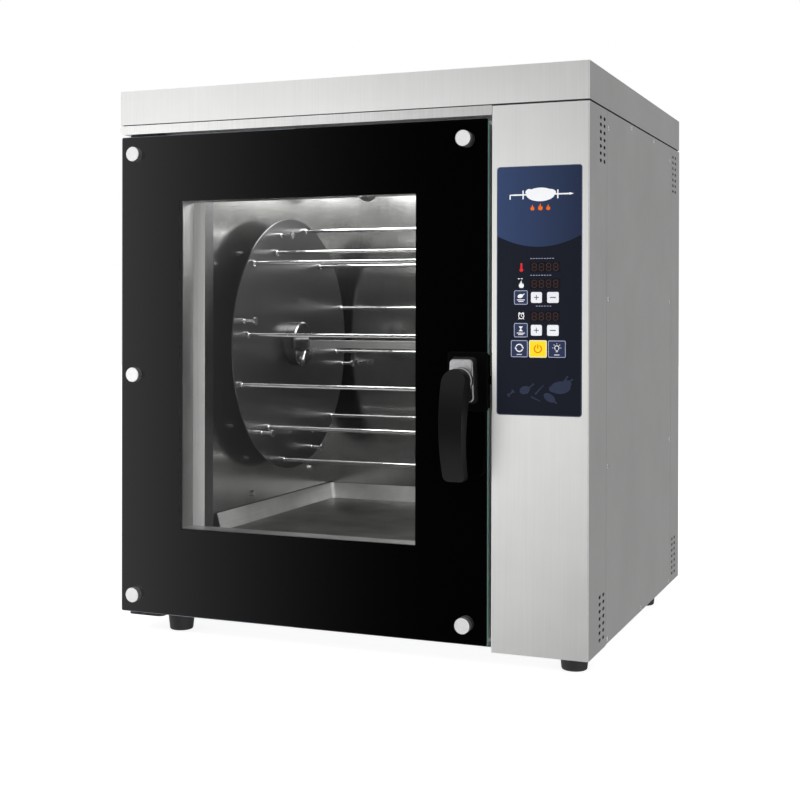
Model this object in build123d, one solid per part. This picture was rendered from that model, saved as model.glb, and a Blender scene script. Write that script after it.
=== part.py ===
from build123d import *
from math import cos, radians, sin
import os

# Rotisserie oven. Sizes in millimetres.
# The model is drawn in cabinet coordinates: x from the cabinet's left side, y from its front
# face towards the rear, z up from its underside. save() moves every piece into the part's own
# frame, whose origin is on the floor, at the middle of the whole oven.

# ---- Overall sizes ----
BODY_W = 1000.0            # cabinet width
BODY_D = 870.0             # cabinet depth
BODY_H = 1092.0            # cabinet height, from its underside to the top of the cap
FOOT_H = 32.0              # height of the rubber feet
SHEET = 1.5                # outer sheet steel

# ---- Casing ----
CAP_H = 70.0               # height of the top cap
SEAM = 2.0                 # shadow gap under the cap
BEAM_H = 18.0              # front beam between the seam and the door
COLUMN_W = 186.0           # control column, at the right
COLUMN_SIDE = 134.0        # how far the column's sheet wraps onto the right side
REAR_POST = 100.0          # depth of the rear corner posts' side strip
POST_BACK = 40.0           # width of the posts' back strip
PANEL_GAP = 1.0            # thin seam round each removable panel
FLANGE = 12.0              # folded edges of the panels
BEND_R = 2.0               # outer radius of folded corners
BASE_FRONT = 38.0          # front edge of the base pan
VENT_FRONT = 85.0          # first column of slots in the column's side
VENT_REAR = 22.0           # first column of slots in the rear posts, from their front edge
VENT_PITCH_Z = 13.4        # pitch of the slots down a side strip
VENT_PITCH_Y = 29.0        # pitch between the two columns of slots
VENT_EDGE = 21.0           # first slot from the strip's end
VENT_ROWS = 7
SLOT_L = 15.0
SLOT_W = 6.5
LOUVRE_ROWS = 8
LOUVRE_L = 70.0
LOUVRE_W = 6.0
LOUVRE_PITCH = 16.0
SLOT_GAP = 20.0            # metal between the two columns of louvre slots
LOUVRE_FIRST = (800.0, 300.0)   # x and z of the first louvre slot
DECK_INSET = 5.0           # raised middle of the deck inside the cap's edge
DECK_RIM = 30.0            # width of the raised rim

# ---- Fasteners ----
SCREW_HEAD_R = 4.5
SCREW_HEAD_H = 1.4
SCREW_R = 2.0
SCREW_L = 8.0
RECESS_L = 4.4             # cross recess in the heads
RECESS_W = 0.9
RECESS_DEPTH = 0.6
PANEL_SCREW_FRONT = 14.0   # side panels' screws from the panel's front edge
PANEL_SCREW_BACK = 13.0    # and from its rear edge
PANEL_SCREW_END = 9.0      # middle screws from the panel's upper and lower ends
PANEL_SCREW_LOW = 10.0     # edge screws: the lowest row above the underside
PANEL_SCREW_DROP = 20.0    # the third row below two thirds of the height
PANEL_SCREW_HIGH = 34.0    # the highest row below the deck
REAR_SCREW_EDGE = 12.0     # rear panel's screws from its side edges
REAR_SCREW_END = 14.0      # and from its upper and lower ends
LINER_BOLTS = [(210.0, 60.0), (500.0, 85.0)]   # y from the front frame, z above the tray
BOLT_R = 6.5
BOLT_H = 5.0

# ---- Feet ----
FOOT_SCREW_R = 5.0
FOOT_TOP_R = 27.5
FOOT_BOTTOM_R = 24.0
FOOT_SCREW_L = 16.0
FOOT_EDGE = 4.0            # rounding at the foot's lower edge
FOOT_LEFT = 109.0          # feet from the cabinet's left side
FOOT_RIGHT = 43.0          # feet from the cabinet's right side
FOOT_FRONT = 65.5          # front feet from the cabinet's front
FOOT_REAR = 195.0          # rear feet from the cabinet's back

# ---- Door ----
GLASS_LEFT = 3.0           # left edge of the glass from the cabinet's left side
DOOR_GAP = 7.5             # gap between glass and column
DOOR_TOP_GAP = 5.5         # gap between glass and beam
DOOR_BOTTOM = 10.0         # bottom edge of the glass above the cabinet's underside
GLASS_T = 8.0
PRINT_T = 0.4              # ceramic print behind the outer glass
INNER_GLASS_T = 5.0
WINDOW_X = 142.0           # left edge of the clear window
WINDOW_Z = 188.0           # bottom edge of the clear window
WINDOW_W = 520.0
WINDOW_H = 673.0
SPACER = 6.0               # gap between the outer glass and the door frame
DOOR_DEPTH = 56.0          # from the glass face to the back of the door frame
GASKET_W = 16.0
GASKET_GAP = 0.4           # gap left between gasket and closed door
FRAME_FACE = 72.0          # face of the front frame behind the door
FRAME_INSET = 9.0          # door frame's side edges inside the glass edges
FRAME_RISE = 6.0           # door frame's upper and lower edges inside the glass edges
HINGE_X = 30.0             # vertical pivot of the door
HINGE_Y = 30.0
PIN_R = 6.0
RUN_FIT = 0.05             # radial clearance of pins and shafts that turn
STANDOFF_R = 15.0
STANDOFF_REACH = 14.0
STUD_R = 4.0
STANDOFF_LEFT = 34.0       # studs from the left edge of the glass
STANDOFF_RIGHT = 45.5      # studs from the right edge of the glass
STANDOFF_LOW = 37.0
STANDOFF_HIGH = 36.5
HINGE_BLOCK_R = 11.0
HINGE_BLOCK_L = 38.0
BRACKET_W = 82.0
BRACKET_T = 3.0
VENT_PITCH = 40.0
GLASS_LAP = 10.0           # how far the inner glass laps the frame round the window
CLIP_T = 1.5
CLIP_W = 28.0
CLIP_EDGE = 90.0           # outer clips from the inner glass's side edges
CLIP_GAP = 0.3
CLIP_LAP = 7.0             # how far a clip laps the inner glass
PANE_GAP = 0.2             # gap between the inner glass and the door frame
GLASS_CORNER = 4.0
GLASS_BEVEL = 1.0
GLASS_HOLE_GAP = 0.5       # gap round the studs in the glass and its print
LATCH_HOLE_GAP = 2.0       # gap round the latch shaft in the glass
PRINT_EDGE = 2.0           # clear edge round the print
CAP_BEVEL = 1.2            # bevel of the standoff caps
STUD_GAP = 0.1
VENT_HALF_X = 11.0         # half size of the door frame's vent slots
VENT_HALF_Y = 4.0
BRACKET_BEFORE_X = 19.0    # hinge plates' edges from the pivot
BRACKET_BEFORE_Y = 17.0
BRACKET_CORNER = 12.0
PIN_END_GAP = 4.0          # gap between a pin's end and the bottom of its hole
GASKET_MARGIN = 4.0        # gasket from the mouth and from the inner glass

# ---- Cavity ----
CAVITY_X = (160.0, 770.0)  # inside of the cavity, and of its mouth in the front frame
MOUTH_Z = (163.0, 950.0)
JAMB = 35.0                # depth of the folded edge round the opening
CAVITY_Z = (120.0, 975.0)
CAVITY_BACK = 692.0
LINER = 1.2                # liner sheet
INSULATION = 24.0
WOOL_COLUMN_GAP = 2.0      # insulation beside the column's return
WOOL_LAMP_GAP = 8.0
WOOL_PROBE_GAP = 6.0
WOOL_HEATER_GAP = 1.0
LAMP_Y = 180.0
LAMP_Z = 880.0
LAMP_R = 27.0
PROBE_Y = 640.0
PROBE_Z = 880.0
PROBE_R = 3.0
LAMP_HOLDER_L = 20.0
LAMP_HOLDER_WALL = 6.0
LAMP_LENS_GAP = 3.0        # lens edge inside the hole
LAMP_LENS_OUT = 6.0        # lens in the cavity
LAMP_LENS_IN = 8.0         # lens behind the wall
LAMP_RIM_T = 2.0
LAMP_RIM_W = 4.0
LAMP_EDGE = 5.0
PROBE_L = 45.0             # probe in the cavity
PROBE_TAIL = 16.0          # probe behind the wall
PROBE_NUT = 4.0            # thickness and extra radius of its nut
HEATER_R = 4.0
HEATER_BEND = 30.0
HEATER_UP = 30.0           # axis of the upper elements below the ceiling
HEATER_LOW = 22.0          # axis of the lower elements above the floor
HEATER_FRONT = 70.0        # bend of the elements behind the front frame
HEATER_STUB = 40.0         # how far the elements pass the back wall
HEATERS_UP = 3
HEATERS_LOW = 2
HEATER_UP_HALF = 75.0      # half the width of an upper element
HEATER_LOW_HALF = 110.0    # half the width of a lower element

# ---- Rotor ----
ROTOR_Y = 385.0
ROTOR_Z = 561.0
DISC_R = 284.0
DISC_T = 3.0
DISC_LEFT = 210.0          # inner face of the left disc
DISC_RIGHT = 715.0         # inner face of the right disc
HUB_R = 50.0
HUB_L = 27.0
BOSS_R = 18.0
BOSS_L = 18.0
BAR_FIT = 0.3
BAR = 17.0                 # central square bar
SHAFT_R = 10.0
SHAFT_ROOM = 4.0           # gap round the shafts in the cavity walls
THUMB_ANGLE = 234.0        # the thumb screws point down and to the front
THUMB_R = 3.0
SCREW_HOLE_R = 3.2
SPITS = 6
SPIT_ANGLE = 54.0          # angle of the first spit's inner prong
PRONG_STEP = 24.0          # angle from the inner prong to the outer one
PIN_STEP = -6.0            # angle from the inner prong to the basket pin
PRONG_INNER_R = 224.0      # distance of the inner prongs from the rotor's axis
PRONG_OUTER_R = 266.0
BASKET_PIN_PCR = 256.0
PRONG_R = 4.0
PRONG_GAP = 0.3            # radial clearance of the prongs in the discs
PRONG_TAIL = 10.0          # how far the prongs pass the left disc
BASKET_PIN_L = 38.0
BASKET_PIN_R = 3.5
BASKET_HEAD_R = 8.0
TIP_L = 6.0                # pointed ends of the prongs
TIP_R = 1.5
STOP_L = 6.0               # stop collars of the prongs
STOP_GAP = 0.5
STOP_WALL = 3.0
BRIDGE_T = 4.0
BRIDGE_W = 12.0
BRIDGE_END = 4.0           # metal round the prongs in the bridge plate
PIN_HEAD_L = 4.0
PIN_FOOT_L = 10.0
PIN_FOOT_WALL = 2.0
HUB_BEVEL = 3.0
SOCKET_END = 4.0           # bottom of the square sockets from the disc
BAR_END_GAP = 1.0
SHAFT_FLANGE_T = 8.0
SHAFT_FLANGE_STEP = 10.0   # shaft flanges inside the hubs' radius
THUMB_L = 30.0             # thumb screw's shank
THUMB_IN = 4.0             # its tip above the bar
THUMB_KNOB_R = 6.0
THUMB_KNOB_L = 8.0
THUMB_KNOB_OUT = 34.0      # knob's middle above the bar
THUMB_WING = (3.0, 26.0, 12.0)
THUMB_WING_UP = 5.0
THUMB_WING_CORNER = 4.0
BRIDGE_GAP = 16.0          # bridge plate behind the right disc

# ---- Drip tray ----
TRAY_GAP = 3.0             # gap between tray rim and cavity walls
TRAY_Z = 168.0
TRAY_H = 38.0
TRAY_LIP = 10.0            # height of the low front lip
TRAY_SLOPE = 10.0          # how much the walls lean outwards
TRAY_FRONT = 92.0
TRAY_CORNER = 10.0
TRAY_LIP_L = 26.0          # length of the cut-down walls at the front
RAIL_END = 4.0             # rails from the back wall
RAIL_W = 22.0
RAIL_H = 26.0

# ---- Drive ----
BRACKET_HALF = 55.0
GEARBOX = (8.0, 62.0)      # x from the gearbox's outer face to its output face
GEARBOX_HALF = 45.0
BEARING_R = 34.0
BEARING_T = 15.0
MOTOR_L = 115.0
MOTOR_TAIL = 20.0
GEARBOX_CORNER = 10.0
GEARBOX_BORE = 16.0        # depth of the hollow output shaft
SHAFT_IN = 12.0            # how far the rotor's shaft reaches into it
BRACKET_PLATE = 4.0        # motor bracket's plate
BRACKET_HOLE_GAP = 6.0
BRACKET_POST_R = 6.0
BRACKET_POST_EDGE = 10.0   # posts from the plate's edges
BRACKET_ROOM = 2.0         # gap round the bracket in the insulation
BEARING_PROUD = 2.0        # right shaft's end past its bearing

# ---- Controls ----
PAD_W = 161.0
PAD_H = 458.0
PAD_LEFT = 11.0            # pad edge from the column's left edge
PAD_BOTTOM = 445.0
PAD_T = 2.5
PAD_PROUD = 0.6
KEY_GAP = 0.3
KEY_PROUD = 0.5            # how far the keys stand out of the pad
KEY_TRAVEL = 0.5
PAD_EDGE = 0.8             # gap round the pad
PAD_CORNER = 5.0
KEY_CORNER = 3.0
BOARD_Y = 14.0             # front of the control board
BOARD_T = 1.6
BOARD_SIDE = 8.0           # board's edges inside the pad's
BOARD_LOW = 60.0
BOARD_HIGH = 110.0
POST_R = 3.0               # posts that carry the board
POST_EDGE = 6.0
TRANSFORMER = (20.0, 70.0, 20.0, 62.0, 28.4)   # x from the board's left edge, z from its lower edge, depth
RELAY = (60.0, 15.0, 90.0, 120.0, 18.4)        # x from the board's right edge, z from its lower edge, depth
KEY_BACK_GAP = 0.2
KEY_FLANGE_W = 0.8         # flange round a key behind the pad
KEY_FLANGE_T = 0.8
KEY_EDGE = 0.4
KEY_STEM_R = 2.5
KEY_STEM_GAP = 0.2
DISPLAY_GAP = 0.2
DISPLAY_BACK = 0.3         # displays behind the pad's face
DISPLAY_W = 57.0
DISPLAY_H = 19.0
KEY_ROWS = (216.8, 156.5, 122.3)              # middle of each row above the pad's bottom edge
SMALL_ROW = ((46.3, 27.0, 27.0), (76.0, 21.0, 20.0), (107.3, 22.0, 20.0))
LARGE_ROW = ((43.5, 33.0, 32.0), (79.0, 34.0, 32.0), (115.0, 34.0, 32.0))
KEY_NAMES = (
    ("key_temperature", "key_temperature_up", "key_temperature_down"),
    ("key_time", "key_time_up", "key_time_down"),
    ("key_rotate", "key_power", "key_lamp"),
)
DISPLAYS = ((92.0, 272.7), (92.0, 242.0), (92.0, 182.0))   # middle, from the pad's corner

# ---- Latch ----
LATCH_X = 762.0            # axis of the turning handle
LATCH_Z = 507.0
LATCH_SHAFT_R = 7.0
LATCH_TIP_GAP = 2.0        # gap between the tongue and the column
GRIP_L = 208.0
GRIP_W = 46.0
GRIP_END_W = 42.0          # width of the grip's lower end
GRIP_END_R = 10.0          # its corners
GRIP_BOW = 19.0            # how far the grip's inner side bows outwards
GRIP_TOP_STEP = 28.0       # grip's top behind its furthest point
GRIP_END_STEP = 26.0       # grip's lower end behind its furthest point
GRIP_END_OUT = 4.0         # lower end in front of the hub's face
GRIP_BELLY = 5.0           # furthest point below the grip's middle
HANDLE_REACH = 84.0        # grip's furthest point in front of the glass
TONGUE_Y = (22.0, 28.0)
TONGUE_H = 16.0
PLATE_T = 5.0
PLATE_H = 111.0
PLATE_LEFT = 33.0          # plate edge left of the latch axis
PLATE_LAP = 2.0            # how far the plate passes the glass edge
PLATE_CORNER = 5.0
PLATE_BEVEL = 1.5
PLATE_SHARE = 0.52         # share of the plate's height under the latch axis
PLATE_RETURN = 6.0         # folded edge's ends from the plate's ends
PLATE_RETURN_GAP = 0.2     # folded edge beside the glass
PLATE_RETURN_IN = 2.0      # folded edge behind the glass
HOUSING = (56.0, 88.0, 19.0)
HOUSING_TAPER = 3.0        # how much each side comes in at the top
HOUSING_CORNER = 9.0
HOUSING_FRONT = 0.9        # front outline's share of the back outline
HOUSING_EDGE = 3.0
HUB_FIT = 0.4
LEVER_HUB_R = 25.0
LEVER_HUB_T = 10.0
LEVER_HUB_EDGE = 2.5
TONGUE_BOSS_WALL = 5.0
TONGUE_BOSS_OUT = 2.0
SLOT_ROOM = 4.0            # gap round the tongue's sweep in the stile
SLOT_ROOM_Y = 2.0
STRIKE_T = 1.3
STRIKE_Y = (16.0, 14.0)    # keeper plate before and behind the tongue
STRIKE_HALF = 30.0

# ---- Rear ----
COLLAR_R = 30.0            # exhaust collar, outside the rear panel
REAR_REACH = 25.0          # how far the collar stands out of the rear panel
COLLAR_Z = 935.0
GLAND_X = 880.0
GLAND_Z = 90.0
GLAND_R = 12.0
CABLE_R = 6.5              # bore of the cable gland
GLAND_IN = 20.0            # gland inside the rear panel
GLAND_OUT = 18.0           # gland outside it
GLAND_FLANGE = 5.0
GLAND_NUT_WALL = 5.0
GLAND_DOME_WALL = 2.0
GLAND_DOME_EDGE = 2.0
TERMINALS = 5
TERMINAL_PITCH = 16.0
TERMINAL_R = 4.5
TERMINAL_DEPTH = 14.0
BLOCK = (80.0, 34.0, 30.0)  # terminal block's width, depth and height
BLOCK_ABOVE = 34.0          # its underside above the gland's axis
BLOCK_FACE = 20.0           # terminals' axes from the rear panel

# ---- Places that follow from the sizes above ----
DECK_Z = BODY_H - CAP_H - SEAM
BEAM_Z = DECK_Z - BEAM_H
COLUMN_X = BODY_W - COLUMN_W
GLASS_RIGHT = COLUMN_X - DOOR_GAP
GLASS_TOP = BEAM_Z - DOOR_TOP_GAP
WINDOW = (WINDOW_X, WINDOW_X + WINDOW_W, WINDOW_Z, WINDOW_Z + WINDOW_H)
FRAME_X = (GLASS_LEFT + FRAME_INSET, GLASS_RIGHT - FRAME_INSET)
FRAME_Z = (DOOR_BOTTOM + FRAME_RISE, GLASS_TOP - FRAME_RISE)
FRAME_Y = (GLASS_T + SPACER, DOOR_DEPTH)
PAD_X = COLUMN_X + PAD_LEFT
FRONT_Y = -(BODY_D + HANDLE_REACH + REAR_REACH) / 2 + HANDLE_REACH
FOOT_X = (FOOT_LEFT, BODY_W - FOOT_RIGHT)
FOOT_Y = (FOOT_FRONT, BODY_D - FOOT_REAR)
COLLAR_X = CAVITY_X[0] + (CAVITY_X[1] - CAVITY_X[0]) / HEATERS_UP / 2
DUCT_R = COLLAR_R - SHEET
FOOT_PLACES = [(x, y) for x in FOOT_X for y in FOOT_Y]


def slab(x0, x1, y0, y1, z0, z1):
    """A box given by its limits."""
    middle = Pos((x0 + x1) / 2, (y0 + y1) / 2, (z0 + z1) / 2)
    return middle * Box(x1 - x0, y1 - y0, z1 - z0)


def rod(axis, low, high, first, second, radius):
    """A cylinder along an axis, from low to high, at the two other coordinates."""
    middle = (low + high) / 2
    if axis == "x":
        place = Pos(middle, first, second) * Rot(0, 90, 0)
    elif axis == "y":
        place = Pos(first, middle, second) * Rot(90, 0, 0)
    else:
        place = Pos(first, second, middle)
    return place * Cylinder(radius, high - low)


def tube(axis, low, high, first, second, outer, inner):
    """A hollow cylinder."""
    whole = rod(axis, low, high, first, second, outer)
    return whole - rod(axis, low - 1, high + 1, first, second, inner)


def group(pieces):
    """Several separate solids that make one node."""
    return Compound(children=[solid for piece in pieces for solid in piece.solids()])


def save(name, shape):
    """Writes one node in the part's own frame."""
    solids = [Pos(-BODY_W / 2, FRONT_Y, FOOT_H) * solid for solid in shape.solids()]
    export_step(Compound(children=solids), f"parts/{name}.step")


def on_rotor(radius, degrees):
    """The y and z of a point on the rotor; the angle runs from the rear upwards."""
    angle = radians(degrees)
    return ROTOR_Y + radius * cos(angle), ROTOR_Z + radius * sin(angle)


# ---- Fasteners ----
def panel_screw_places():
    """Screws of the side panels: y and z on the side, in both side panels."""
    front = COLUMN_SIDE + PANEL_SCREW_FRONT
    back = BODY_D - REAR_POST - PANEL_SCREW_BACK
    rows = [PANEL_SCREW_LOW, DECK_Z / 3, DECK_Z * 2 / 3 - PANEL_SCREW_DROP, DECK_Z - PANEL_SCREW_HIGH]
    places = [(y, z) for y in (front, back) for z in rows]
    span = back - front
    top = DECK_Z - PANEL_SCREW_END
    return places + [(front + span / 3, top), (front + span * 0.7, top), (front + span / 2, PANEL_SCREW_END)]


def rear_screw_places():
    """Screws of the rear panel: x and z."""
    edge = POST_BACK + REAR_SCREW_EDGE
    rows = (REAR_SCREW_END, DECK_Z / 2, DECK_Z - REAR_SCREW_END)
    return [(x, z) for x in (edge, BODY_W / 2, BODY_W - edge) for z in rows]


def screw():
    """A pan head screw with its head's underside at the origin and its head towards +Z."""
    head = Cylinder(SCREW_HEAD_R, SCREW_HEAD_H, align=(Align.CENTER, Align.CENTER, Align.MIN))
    head = fillet(head.edges().sort_by(Axis.Z)[-1], SCREW_HEAD_H * 0.7)
    shank = Cylinder(SCREW_R, SCREW_L, align=(Align.CENTER, Align.CENTER, Align.MAX))
    deep = RECESS_DEPTH * 2
    recess = Pos(0, 0, SCREW_HEAD_H) * (Box(RECESS_L, RECESS_W, deep) + Box(RECESS_W, RECESS_L, deep))
    return head + shank - recess


def liner_bolt(along, up):
    """A hexagon bolt head on the left wall of the cavity."""
    head = extrude(RegularPolygon(BOLT_R, 6), BOLT_H)
    return Pos(CAVITY_X[0], FRAME_FACE + along, TRAY_Z + up) * Rot(0, 90, 0) * head


def screws():
    """All screws of the panels, and the bolt heads in the cavity."""
    right = [Pos(BODY_W, y, z) * Rot(0, 90, 0) * screw() for y, z in panel_screw_places()]
    left = [Pos(0, y, z) * Rot(0, -90, 0) * screw() for y, z in panel_screw_places()]
    rear = [Pos(x, BODY_D, z) * Rot(-90, 0, 0) * screw() for x, z in rear_screw_places()]
    bolts = [liner_bolt(along, up) for along, up in LINER_BOLTS]
    return group(right + left + rear + bolts)


# ---- Casing ----
def vent_slots(y_first, x_side):
    """Two columns of seven slots at the top and at the bottom of a side strip."""
    slots = []
    shape = Rot(0, 90, 0) * Rot(0, 0, 90) * extrude(SlotOverall(SLOT_L, SLOT_W), SHEET * 4)
    for column in (0, 1):
        y = y_first + column * VENT_PITCH_Y
        for row in range(VENT_ROWS):
            up = VENT_EDGE + row * VENT_PITCH_Z
            for z in (up, DECK_Z - up):
                slots.append(Pos(x_side - SHEET * 2, y, z) * shape)
    return slots


def top_cap():
    outer = slab(0, BODY_W, 0, BODY_D, DECK_Z + SEAM, BODY_H)
    outer = fillet(outer.edges().filter_by(Axis.Z), BEND_R)
    inner = slab(SHEET, BODY_W - SHEET, SHEET, BODY_D - SHEET, DECK_Z + SEAM, BODY_H - SHEET)
    rim = slab(0, BODY_W, 0, BODY_D, DECK_Z + SEAM, DECK_Z + SEAM + SHEET)
    rim = fillet(rim.edges().filter_by(Axis.Z), BEND_R)
    rim -= slab(FLANGE, BODY_W - FLANGE, FLANGE, BODY_D - FLANGE, 0, BODY_H)
    return outer - inner + rim


def top_deck():
    """The carcass's roof; its raised middle carries the cap and makes the shadow gap."""
    outer, inner = DECK_INSET, DECK_INSET + DECK_RIM
    plate = slab(SHEET, BODY_W - SHEET, SHEET, BODY_D - SHEET, DECK_Z - SHEET, DECK_Z)
    rim = slab(outer, BODY_W - outer, outer, BODY_D - outer, DECK_Z, DECK_Z + SEAM)
    rim -= slab(inner, BODY_W - inner, inner, BODY_D - inner, DECK_Z, DECK_Z + SEAM)
    return plate + rim


def front_frame():
    """Welded frame behind the door: four angle strips round the cavity's mouth and the beam above."""
    y0, y1, y2 = FRAME_FACE, FRAME_FACE + SHEET, FRAME_FACE + JAMB
    x0, x1 = CAVITY_X
    low, high = MOUTH_Z
    left = slab(SHEET, x0, y0, y1, SHEET, BEAM_Z) + slab(x0 - SHEET, x0, y0, y2, low, high)
    right = slab(x1, COLUMN_X, y0, y1, SHEET, BEAM_Z) + slab(x1, x1 + SHEET, y0, y2, low, high)
    top = slab(x0, x1, y0, y1, high, BEAM_Z) + slab(x0, x1, y0, y2, high, high + SHEET)
    bottom = slab(x0, x1, y0, y1, SHEET, low) + slab(x0, x1, y0, y2, low - SHEET, low)
    lip = slab(0, COLUMN_X, 0, SHEET, BEAM_Z, DECK_Z)
    lower_left = lip.edges().filter_by(Axis.Y).sort_by(Axis.X)[:2].sort_by(Axis.Z)[0]
    lip = fillet(lower_left, BEAM_H / 3)
    web = slab(BEAM_H / 3, COLUMN_X, 0, y1, BEAM_Z, BEAM_Z + SHEET)
    return group([left, right, top, bottom, lip + web])


def control_column():
    """Front and right corner of the cabinet in one folded sheet, with the return beside the door."""
    right = COLUMN_SIDE - PANEL_GAP / 2
    outer = slab(COLUMN_X, BODY_W, 0, right, 0, DECK_Z - SHEET)
    outer = fillet(outer.edges().filter_by(Axis.Z).sort_by(Axis.Y)[:2], BEND_R)
    inner = slab(COLUMN_X + SHEET, BODY_W - SHEET, SHEET, right + 1, SHEET, DECK_Z)
    floor_cut = slab(COLUMN_X - 1, BODY_W - SHEET, BASE_FRONT, right + 1, -1, SHEET)
    side_cut = slab(COLUMN_X - 1, COLUMN_X + SHEET, FRAME_FACE + JAMB, right + 1, -1, DECK_Z)
    hole = slab(PAD_X - PAD_EDGE, PAD_X + PAD_W + PAD_EDGE, -1, SHEET + 1,
                PAD_BOTTOM - PAD_EDGE, PAD_BOTTOM + PAD_H + PAD_EDGE)
    hole = fillet(hole.edges().filter_by(Axis.Y), PAD_CORNER + PAD_EDGE)
    column = outer - inner - floor_cut - side_cut - hole
    return column - vent_slots(VENT_FRONT, BODY_W)


def side_panel(x_outside, y_front):
    """A removable side panel with folded edges; the outside is at x_outside."""
    inward = -1 if x_outside > 0 else 1
    y0 = y_front + PANEL_GAP / 2
    y1 = BODY_D - REAR_POST - PANEL_GAP / 2
    z0, z1 = SHEET, DECK_Z - SHEET
    x0, x1 = sorted((x_outside, x_outside + inward * SHEET))
    f0, f1 = sorted((x_outside, x_outside + inward * FLANGE))
    panel = slab(x0, x1, y0, y1, z0, z1)
    panel += slab(f0, f1, y0, y0 + SHEET, z0, z1)
    panel += slab(f0, f1, y1 - SHEET, y1, z0, z1)
    for y, z in panel_screw_places():
        panel -= rod("x", x_outside - FLANGE * 2, x_outside + FLANGE * 2, y, z, SCREW_R)
    return panel


def side_panels():
    return group([side_panel(BODY_W, COLUMN_SIDE), side_panel(0, FRAME_FACE + SHEET)])


def rear_corner_posts():
    """Two angle posts with vent slots in their side strips."""
    posts = []
    y0 = BODY_D - REAR_POST + PANEL_GAP / 2
    for side in (0, 1):
        x0, x1 = (0, SHEET) if side == 0 else (BODY_W - SHEET, BODY_W)
        b0, b1 = (0, POST_BACK) if side == 0 else (BODY_W - POST_BACK, BODY_W)
        post = slab(x0, x1, y0, BODY_D, SHEET, DECK_Z - SHEET)
        post += slab(b0, b1, BODY_D - SHEET, BODY_D, SHEET, DECK_Z - SHEET)
        outer_x = 0 if side == 0 else BODY_W
        post -= vent_slots(y0 + VENT_REAR, outer_x)
        posts.append(post)
    return group(posts)


def rear_panel():
    """The back of the cabinet, with louvre slots behind the electrics."""
    x0 = POST_BACK + PANEL_GAP / 2
    panel = slab(x0, BODY_W - x0, BODY_D - SHEET, BODY_D, SHEET, DECK_Z - SHEET)
    for x, z in rear_screw_places():
        panel -= rod("y", BODY_D - FLANGE, BODY_D + 1, x, z, SCREW_R)
    panel -= rod("y", BODY_D - FLANGE, BODY_D + 1, COLLAR_X, COLLAR_Z, DUCT_R)
    panel -= rod("y", BODY_D - FLANGE, BODY_D + 1, GLAND_X, GLAND_Z, GLAND_R)
    slot = Rot(90, 0, 0) * extrude(SlotOverall(LOUVRE_L, LOUVRE_W), SHEET * 4)
    x_first, z_first = LOUVRE_FIRST
    for row in range(LOUVRE_ROWS):
        for column in (0, 1):
            x = x_first + column * (LOUVRE_L + SLOT_GAP)
            panel -= Pos(x, BODY_D + SHEET * 2, z_first + row * LOUVRE_PITCH) * slot
    return panel


def base_pan():
    """The floor of the cabinet, with a hole for each foot's stud."""
    x0, x1 = SHEET, BODY_W - SHEET
    y1 = BODY_D - SHEET
    pan = slab(x0, x1, BASE_FRONT, y1, 0, SHEET)
    for x, y in FOOT_PLACES:
        pan -= rod("z", -1, SHEET + 1, x, y, FOOT_SCREW_R)
    return pan


def rubber_feet():
    """Four tapered rubber feet, each moulded on a threaded stud."""
    feet = []
    for x, y in FOOT_PLACES:
        body = Cone(FOOT_BOTTOM_R, FOOT_TOP_R, FOOT_H, align=(Align.CENTER, Align.CENTER, Align.MAX))
        body = fillet(body.edges().sort_by(Axis.Z)[0], FOOT_EDGE)
        stud = Cylinder(FOOT_SCREW_R, FOOT_SCREW_L, align=(Align.CENTER, Align.CENTER, Align.MIN))
        feet.append(Pos(x, y, 0) * (body + stud))
    return group(feet)


# ---- Cavity ----
def cavity_liner():
    """Left, right and back walls, ceiling and floor of the cooking cavity."""
    x0, x1 = CAVITY_X
    z0, z1 = CAVITY_Z
    y0, y1 = FRAME_FACE + SHEET, CAVITY_BACK
    shaft_hole = rod("x", 0, BODY_W, ROTOR_Y, ROTOR_Z, SHAFT_R + SHAFT_ROOM)
    jamb_room = slab(0, BODY_W, 0, FRAME_FACE + JAMB, MOUTH_Z[0] - SHEET, MOUTH_Z[1] + SHEET)
    left = slab(x0 - LINER, x0, y0, y1, z0, z1) - shaft_hole - jamb_room
    right = slab(x1, x1 + LINER, y0, y1, z0, z1) - shaft_hole - jamb_room
    right -= rod("x", x1 - 1, x1 + LINER + 1, LAMP_Y, LAMP_Z, LAMP_R)
    right -= rod("x", x1 - 1, x1 + LINER + 1, PROBE_Y, PROBE_Z, PROBE_R)
    back = slab(x0 - LINER, x1 + LINER, y1, y1 + LINER, z0, z1)
    back -= rod("y", y1 - 1, y1 + LINER + 1, COLLAR_X, COLLAR_Z, DUCT_R)
    for x, z in heater_legs():
        back -= rod("y", y1 - 1, y1 + LINER + 1, x, z, HEATER_R)
    ceiling = slab(x0 - LINER, x1 + LINER, y0, y1 + LINER, z1, z1 + LINER)
    floor = slab(x0 - LINER, x1 + LINER, y0, y1 + LINER, z0 - LINER, z0)
    return group([left, right, back, ceiling, floor])


def heater_loops():
    """Each heating element's two x and its z."""
    x0, x1 = CAVITY_X
    upper = (HEATERS_UP, HEATER_UP_HALF, CAVITY_Z[1] - HEATER_UP)
    lower = (HEATERS_LOW, HEATER_LOW_HALF, CAVITY_Z[0] + HEATER_LOW)
    loops = []
    for count, half, z in (upper, lower):
        for number in range(count):
            middle = x0 + (x1 - x0) * (number + 0.5) / count
            loops.append((middle - half, middle + half, z))
    return loops


def heater_legs():
    return [(x, z) for x0, x1, z in heater_loops() for x in (x0, x1)]


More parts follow.
